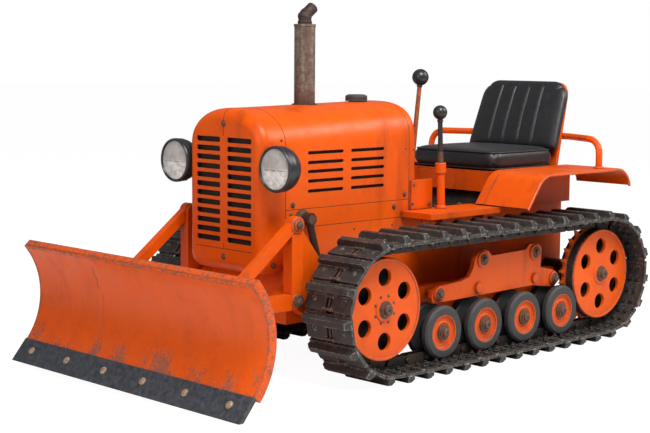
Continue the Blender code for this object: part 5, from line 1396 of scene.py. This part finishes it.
def make_seat():
    low, high = local_box("seat_cushion")
    size = high - low
    cushion = Piece("cushion_pad", instead=["seat_cushion"], sharp=60)
    part = pillow(size.y, size.x - 0.002, size.z + 0.006, 0.006, plump=12)
    round_corners(part, size.y / 2, size.x / 2 - 0.001, 0.050, True)
    turn = Matrix.Translation(((low.x + high.x) / 2, 0, low.z)) @ Matrix.Rotation(math.radians(-90),
                                                                                  4, "Z")
    cushion.take(part, VINYL, turn)
    for z, inset in ((low.z + 0.010, 0.004), (high.z - 0.007, 0.006)):
        outline = fillet([(low.x + inset, low.y + inset), (high.x - inset, low.y + inset),
                          (high.x - inset, high.y - inset), (low.x + inset, high.y - inset)], 0.066,
                         8, True)
        path = [(x, y, z) for x, y in outline]
        cushion.tube(path + path[:1], PIPING, VINYL, 2)
    pad = cushion.done()

    low, high = local_box("seat_back")
    back = Piece("back_pad", instead=["seat_back"], sharp=60)
    base = Vector((-0.690, 0, low.z))
    top = Vector((-0.800, 0, high.z))
    lean = math.atan2(base.x - top.x, top.z - base.z)
    length = (top - base).length
    grooves = [(y, 0.0045, 0.0065) for y in SEAM_YS]
    wide = high.y - low.y + 0.018
    part = pillow(wide, length + BACK_RISE, 0.052, 0.010, grooves, 60, 110)
    bmesh.ops.translate(part, vec=(0, BACK_RISE / 2, 0), verts=part.verts)
    for vertex in part.verts:
        share = (vertex.co.y + length / 2) / length
        vertex.co.x *= 1 - BACK_TAPER * share
    round_corners(part, wide / 2 * (1 - BACK_TAPER), length / 2 + BACK_RISE, 0.085, False)
    frame_turn = Matrix(((0, -math.sin(lean), math.cos(lean), 0), (1, 0, 0, 0),
                         (0, math.cos(lean), math.sin(lean), 0), (0, 0, 0, 1)))
    middle = (base + top) / 2
    shift = Vector((-math.cos(lean) * 0.042, 0, -math.sin(lean) * 0.042))
    placed = Matrix.Translation(middle + shift) @ frame_turn
    back.take(part, VINYL, placed)
    back_pad = back.done()
    stitches = Piece("back_stitches", sharp=60)
    for y in SEAM_YS:
        for step in range(58):
            along = -length / 2 + 0.030 + step * (length - 0.060) / 58
            share = (along + length / 2) / length
            across = y * (1 - BACK_TAPER * share)
            swell = 0.010 * (1 - (y / 0.25) ** 2) * (1 - (2 * share - 1) ** 2)
            height = 0.052 + swell - 0.0048
            points = [placed @ Vector((across, along + shift_y, height)) for shift_y in (0, 0.0036)]
            stitches.tube([tuple(point) for point in points], 0.0007, THREAD, 0)
    stitches.done()


RAIL_LEG_X, RAIL_LEG_Y = -0.700, 0.500


def make_seat_rail():
    foot_z = local_box("seat_rail")[0].z
    piece = Piece("rail_feet")
    for side in (1, -1):
        foot_y = side * RAIL_LEG_Y
        piece.lathe([(0.0152, 0.010), (0.0210, 0.008), (0.0240, 0.003), (0.0240, 0), (0.0152, 0)],
                    (RAIL_LEG_X, foot_y, foot_z), (0, 0, 1), ORANGE_WORN, 36, 0.001)
        for y in (0.019, -0.019):
            piece.dome((RAIL_LEG_X, foot_y + y, foot_z + 0.004), (0, 0, 1), 0.0035)
    piece.done()


# ---------------------------------------------------------------- fenders and footplates
FENDER_SHEET = 0.008
FENDER_WALL_Y = 0.262                         # inner side of the wall under the fender
WALL_FOOT_Z = 0.5885


def fender_edge(top):
    """Outer top edge of the fender in x and z, front to rear."""
    start = fillet([(-0.138, 0.6185), (-0.243, top), (-0.500, top)], 0.110, 10)
    lip = ring_points((-0.772, top - 0.098), 0.098, 12, 90, 168)
    return start + [Vector(point) for point in lip]


def make_fenders():
    for label, side in SIDES:
        low, high = local_box("fender_" + label)
        out = (0, side, 0)
        outer = high.y if side > 0 else -low.y
        inner = low.y if side > 0 else -high.y
        piece = Piece("fender_sheet_" + label, instead=["fender_" + label])
        path = fender_edge(high.z)
        under = []
        for index, point in enumerate(path):
            way = (path[min(index + 1, len(path) - 1)] - path[max(index - 1, 0)]).normalized()
            under.append(point + Vector((way.y, -way.x)) * -FENDER_SHEET)
        wall_y = FENDER_WALL_Y
        piece.plate([path + under[::-1]], "y", *span(side, wall_y, outer - 0.002), ORANGE_WORN,
                    0.0015)
        skirt = [point for point in under if -0.795 < point.x < -0.175]
        skirt = [(-0.170, WALL_FOOT_Z), (-0.170, 0.634)] + skirt + [(-0.800, 0.700),
                                                                    (-0.800, WALL_FOOT_Z)]
        piece.plate([skirt], "y", *span(side, wall_y, wall_y + FENDER_SHEET), ORANGE_WORN, 0.0015)
        near_y, far_y = span(side, inner, wall_y + 0.004)
        piece.block((-0.800, near_y, WALL_FOOT_Z), (-0.170, far_y, WALL_FOOT_Z + FENDER_SHEET),
                    ORANGE_WORN, 0.0015)
        piece.tube([(point.x, side * (outer - 0.005), point.y - 0.0060) for point in path], 0.0062,
                   ORANGE_WORN, 3)
        piece.tube([(point.x, side * 0.310, point.y + 0.0002) for point in path[:6]], 0.0010, SEAM_AND_SHADE,
                   2)
        for x in (-0.700, -0.560, -0.400, -0.300):
            piece.dome((x, side * 0.285, high.z), (0, 0, 1), 0.0050)
        for x, z in ((-0.60, 0.70), (-0.45, 0.70), (-0.34, 0.66)):
            piece.dome((x, side * 0.2705, z), out, 0.0060)
        piece.done()
        low, high = local_box("footplate_" + label)
        plate = Piece("footplate_trim_" + label)
        top = high.z
        for x in (-0.120, 0.080, 0.250):
            plate.dome((x, side * 0.372, top), (0, 0, 1), 0.0042)
        for x in (-0.060, 0.200):
            near_y, far_y = span(side, 0.225, 0.372)
            plate.block((x - 0.006, near_y, low.z - 0.016), (x + 0.006, far_y, low.z), ORANGE,
                        0.002)
        plate.done()


def make_controls():
    """Dark pedals and rods between the cowl and the seat."""
    piece = Piece("pedals")
    for y in (-0.12, 0.12):
        piece.tube([(0.190, y, 0.640), (0.120, y, 0.668), (0.095, y, 0.700)], 0.007, DARK_RUST, 3)
        piece.block((0.080, y - 0.030, 0.694), (0.098, y + 0.030, 0.704), CAST, 0.003)
    piece.block((-0.03, -0.05, 0.601), (0.05, 0.05, 0.630), CAST, 0.006)
    piece.lathe([(0, 0.020), (0.030, 0.020), (0.040, 0.010), (0.042, 0), (0, 0)], (0.006, 0, 0.628),
                (0, 0, 1), CAST, 32, 0.002)
    for x, y in ((-0.02, 0.14), (-0.12, -0.13), (-0.20, 0.12), (0.10, -0.15), (-0.20, -0.06)):
        piece.bolt((x, y, 0.600), (0, 0, 1), 0.009)
    for y in (-0.15, 0.15):
        piece.lathe(disc(0.014, 0, 0.075), (-0.36, y, 0.656), (0, 0, 1), CAST, 20, 0.002)
    piece.done()


def make_rear():
    low, high = local_box("main_frame")
    piece = Piece("rear_bolts")
    back = (-1, 0, 0)
    for y in (-0.185, -0.110, 0.110, 0.185):
        for z in (0.250, 0.450, 0.550):
            piece.bolt((low.x, y, z), back, 0.0080)
    for y in (-0.070, 0.070):
        for z in (0.288, 0.402):
            piece.bolt((low.x - 0.0203, y, z), back, 0.0100)
    piece.lathe([(0, 0.014), (0.060, 0.014), (0.066, 0.008), (0.066, 0), (0, 0)], (low.x, 0, 0.500),
                back, CAST, 40, 0.002)
    for bolt in range(6):
        angle = math.radians(30 + 60 * bolt)
        piece.dome((low.x - 0.008, 0.052 * math.cos(angle), 0.500 + 0.052 * math.sin(angle)), back,
                   0.006)
    piece.done()
    shell_low, shell_high = local_box("seat_shell")
    shell = Piece("shell_bolts")
    lean = math.radians(15.7)
    for y in (-0.150, 0.150):
        for share in (0.25, 0.70):
            x = -0.7155 - 0.018 - 0.1101 * share
            z = shell_low.z + share * (shell_high.z - shell_low.z)
            shell.dome((x, y, z), (-math.cos(lean), 0, -math.sin(lean)), 0.008)
    shell.done()


# ---------------------------------------------------------------- camera, lights and floor
def set_camera():
    data = bpy.data.cameras.new("camera")
    camera = bpy.data.objects.new("camera", data)
    bpy.context.scene.collection.objects.link(camera)
    data.sensor_width = 36
    data.lens = 81.68
    data.clip_end = 60
    right = Vector((-0.72050453, 0.69341426, 0.00706371))
    up = Vector((-0.07280951, -0.0857762, 0.99365045))
    ahead = Vector((-0.68961729, -0.71541534, -0.11228929))
    turn = Matrix((right, up, -ahead)).transposed().to_4x4()
    camera.matrix_world = Matrix.Translation(place(4.722008, 4.370891, 1.272824)) @ turn
    bpy.context.scene.camera = camera


def area_light(name, where, target, size, power, colour=(1, 1, 1)):
    data = bpy.data.lights.new(name, "AREA")
    data.shape = "DISK"
    data.size = size
    data.energy = power
    data.color = colour
    lamp = bpy.data.objects.new(name, data)
    bpy.context.scene.collection.objects.link(lamp)
    lamp.location = where
    lamp.rotation_mode = "QUATERNION"
    lamp.rotation_quaternion = (Vector(target) - Vector(where)).to_track_quat("-Z", "Y")


def set_studio():
    area_light("key", (1.4, 3.0, 5.2), (0, 0, 0.4), 2.6, 345, (1.0, 0.97, 0.92))
    area_light("front", (5.2, 0.6, 2.8), (0.4, 0, 0.5), 3.2, 74, (1.0, 0.97, 0.92))
    area_light("back", (-3.2, 3.0, 3.8), (-0.3, 0, 0.6), 2.6, 140, (1.0, 0.97, 0.92))
    world = bpy.data.worlds.new("studio")
    bpy.context.scene.world = world
    world.use_nodes = True
    tree = world.node_tree
    soft = tree.nodes["Background"]
    soft.inputs["Color"].default_value = (1, 1, 1, 1)
    soft.inputs["Strength"].default_value = 0.22
    white = tree.nodes.new("ShaderNodeBackground")
    white.inputs["Color"].default_value = (1, 1, 1, 1)
    white.inputs["Strength"].default_value = 1.0
    path = tree.nodes.new("ShaderNodeLightPath")
    mix = tree.nodes.new("ShaderNodeMixShader")
    tree.links.new(path.outputs["Is Camera Ray"], mix.inputs[0])
    tree.links.new(soft.outputs[0], mix.inputs[1])
    tree.links.new(white.outputs[0], mix.inputs[2])
    tree.links.new(mix.outputs[0], tree.nodes["World Output"].inputs["Surface"])


def make_floor():
    """Pale floor that reads as white paper but keeps the contact shadow."""
    mesh = bpy.data.meshes.new("studio_floor")
    plane = bmesh.new()
    bmesh.ops.create_grid(plane, x_segments=2, y_segments=2, size=40)
    plane.to_mesh(mesh)
    plane.free()
    floor = bpy.data.objects.new("studio_floor", mesh)
    bpy.context.scene.collection.objects.link(floor)
    floor.location.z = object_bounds()[0][2] - 0.0005
    g = Graph("studio_floor")
    g.finish((0.90, 0.90, 0.90, 1), 0.95, 0.0, Specular_IOR_Level=0.1)
    glow = g.add("Emission", Color=(1, 1, 1, 1), Strength=1.16)
    mix = g.tree.nodes.new("ShaderNodeMixShader")
    path = g.tree.nodes.new("ShaderNodeLightPath")
    g.feed(mix.inputs[0], g.math("MULTIPLY", path.outputs["Is Camera Ray"], 0.82))
    g.feed(mix.inputs[1], g.shader.outputs[0])
    g.feed(mix.inputs[2], glow)
    g.feed(g.tree.nodes["Material Output"].inputs["Surface"], mix.outputs[0])
    floor.data.materials.append(g.material)


# ---------------------------------------------------------------- assembly
finish_cad_nodes()
make_tracks()
make_running_gear()
make_hood()
make_nose()
make_cowl()
make_hood_bolts()
make_lamps()
make_exhaust()
make_cap()
make_levers()
make_blade()
make_push_frame()
make_seat()
make_seat_rail()
make_fenders()
make_controls()
make_rear()
set_camera()
set_studio()
make_floor()
bpy.context.scene.view_settings.view_transform = "Standard"
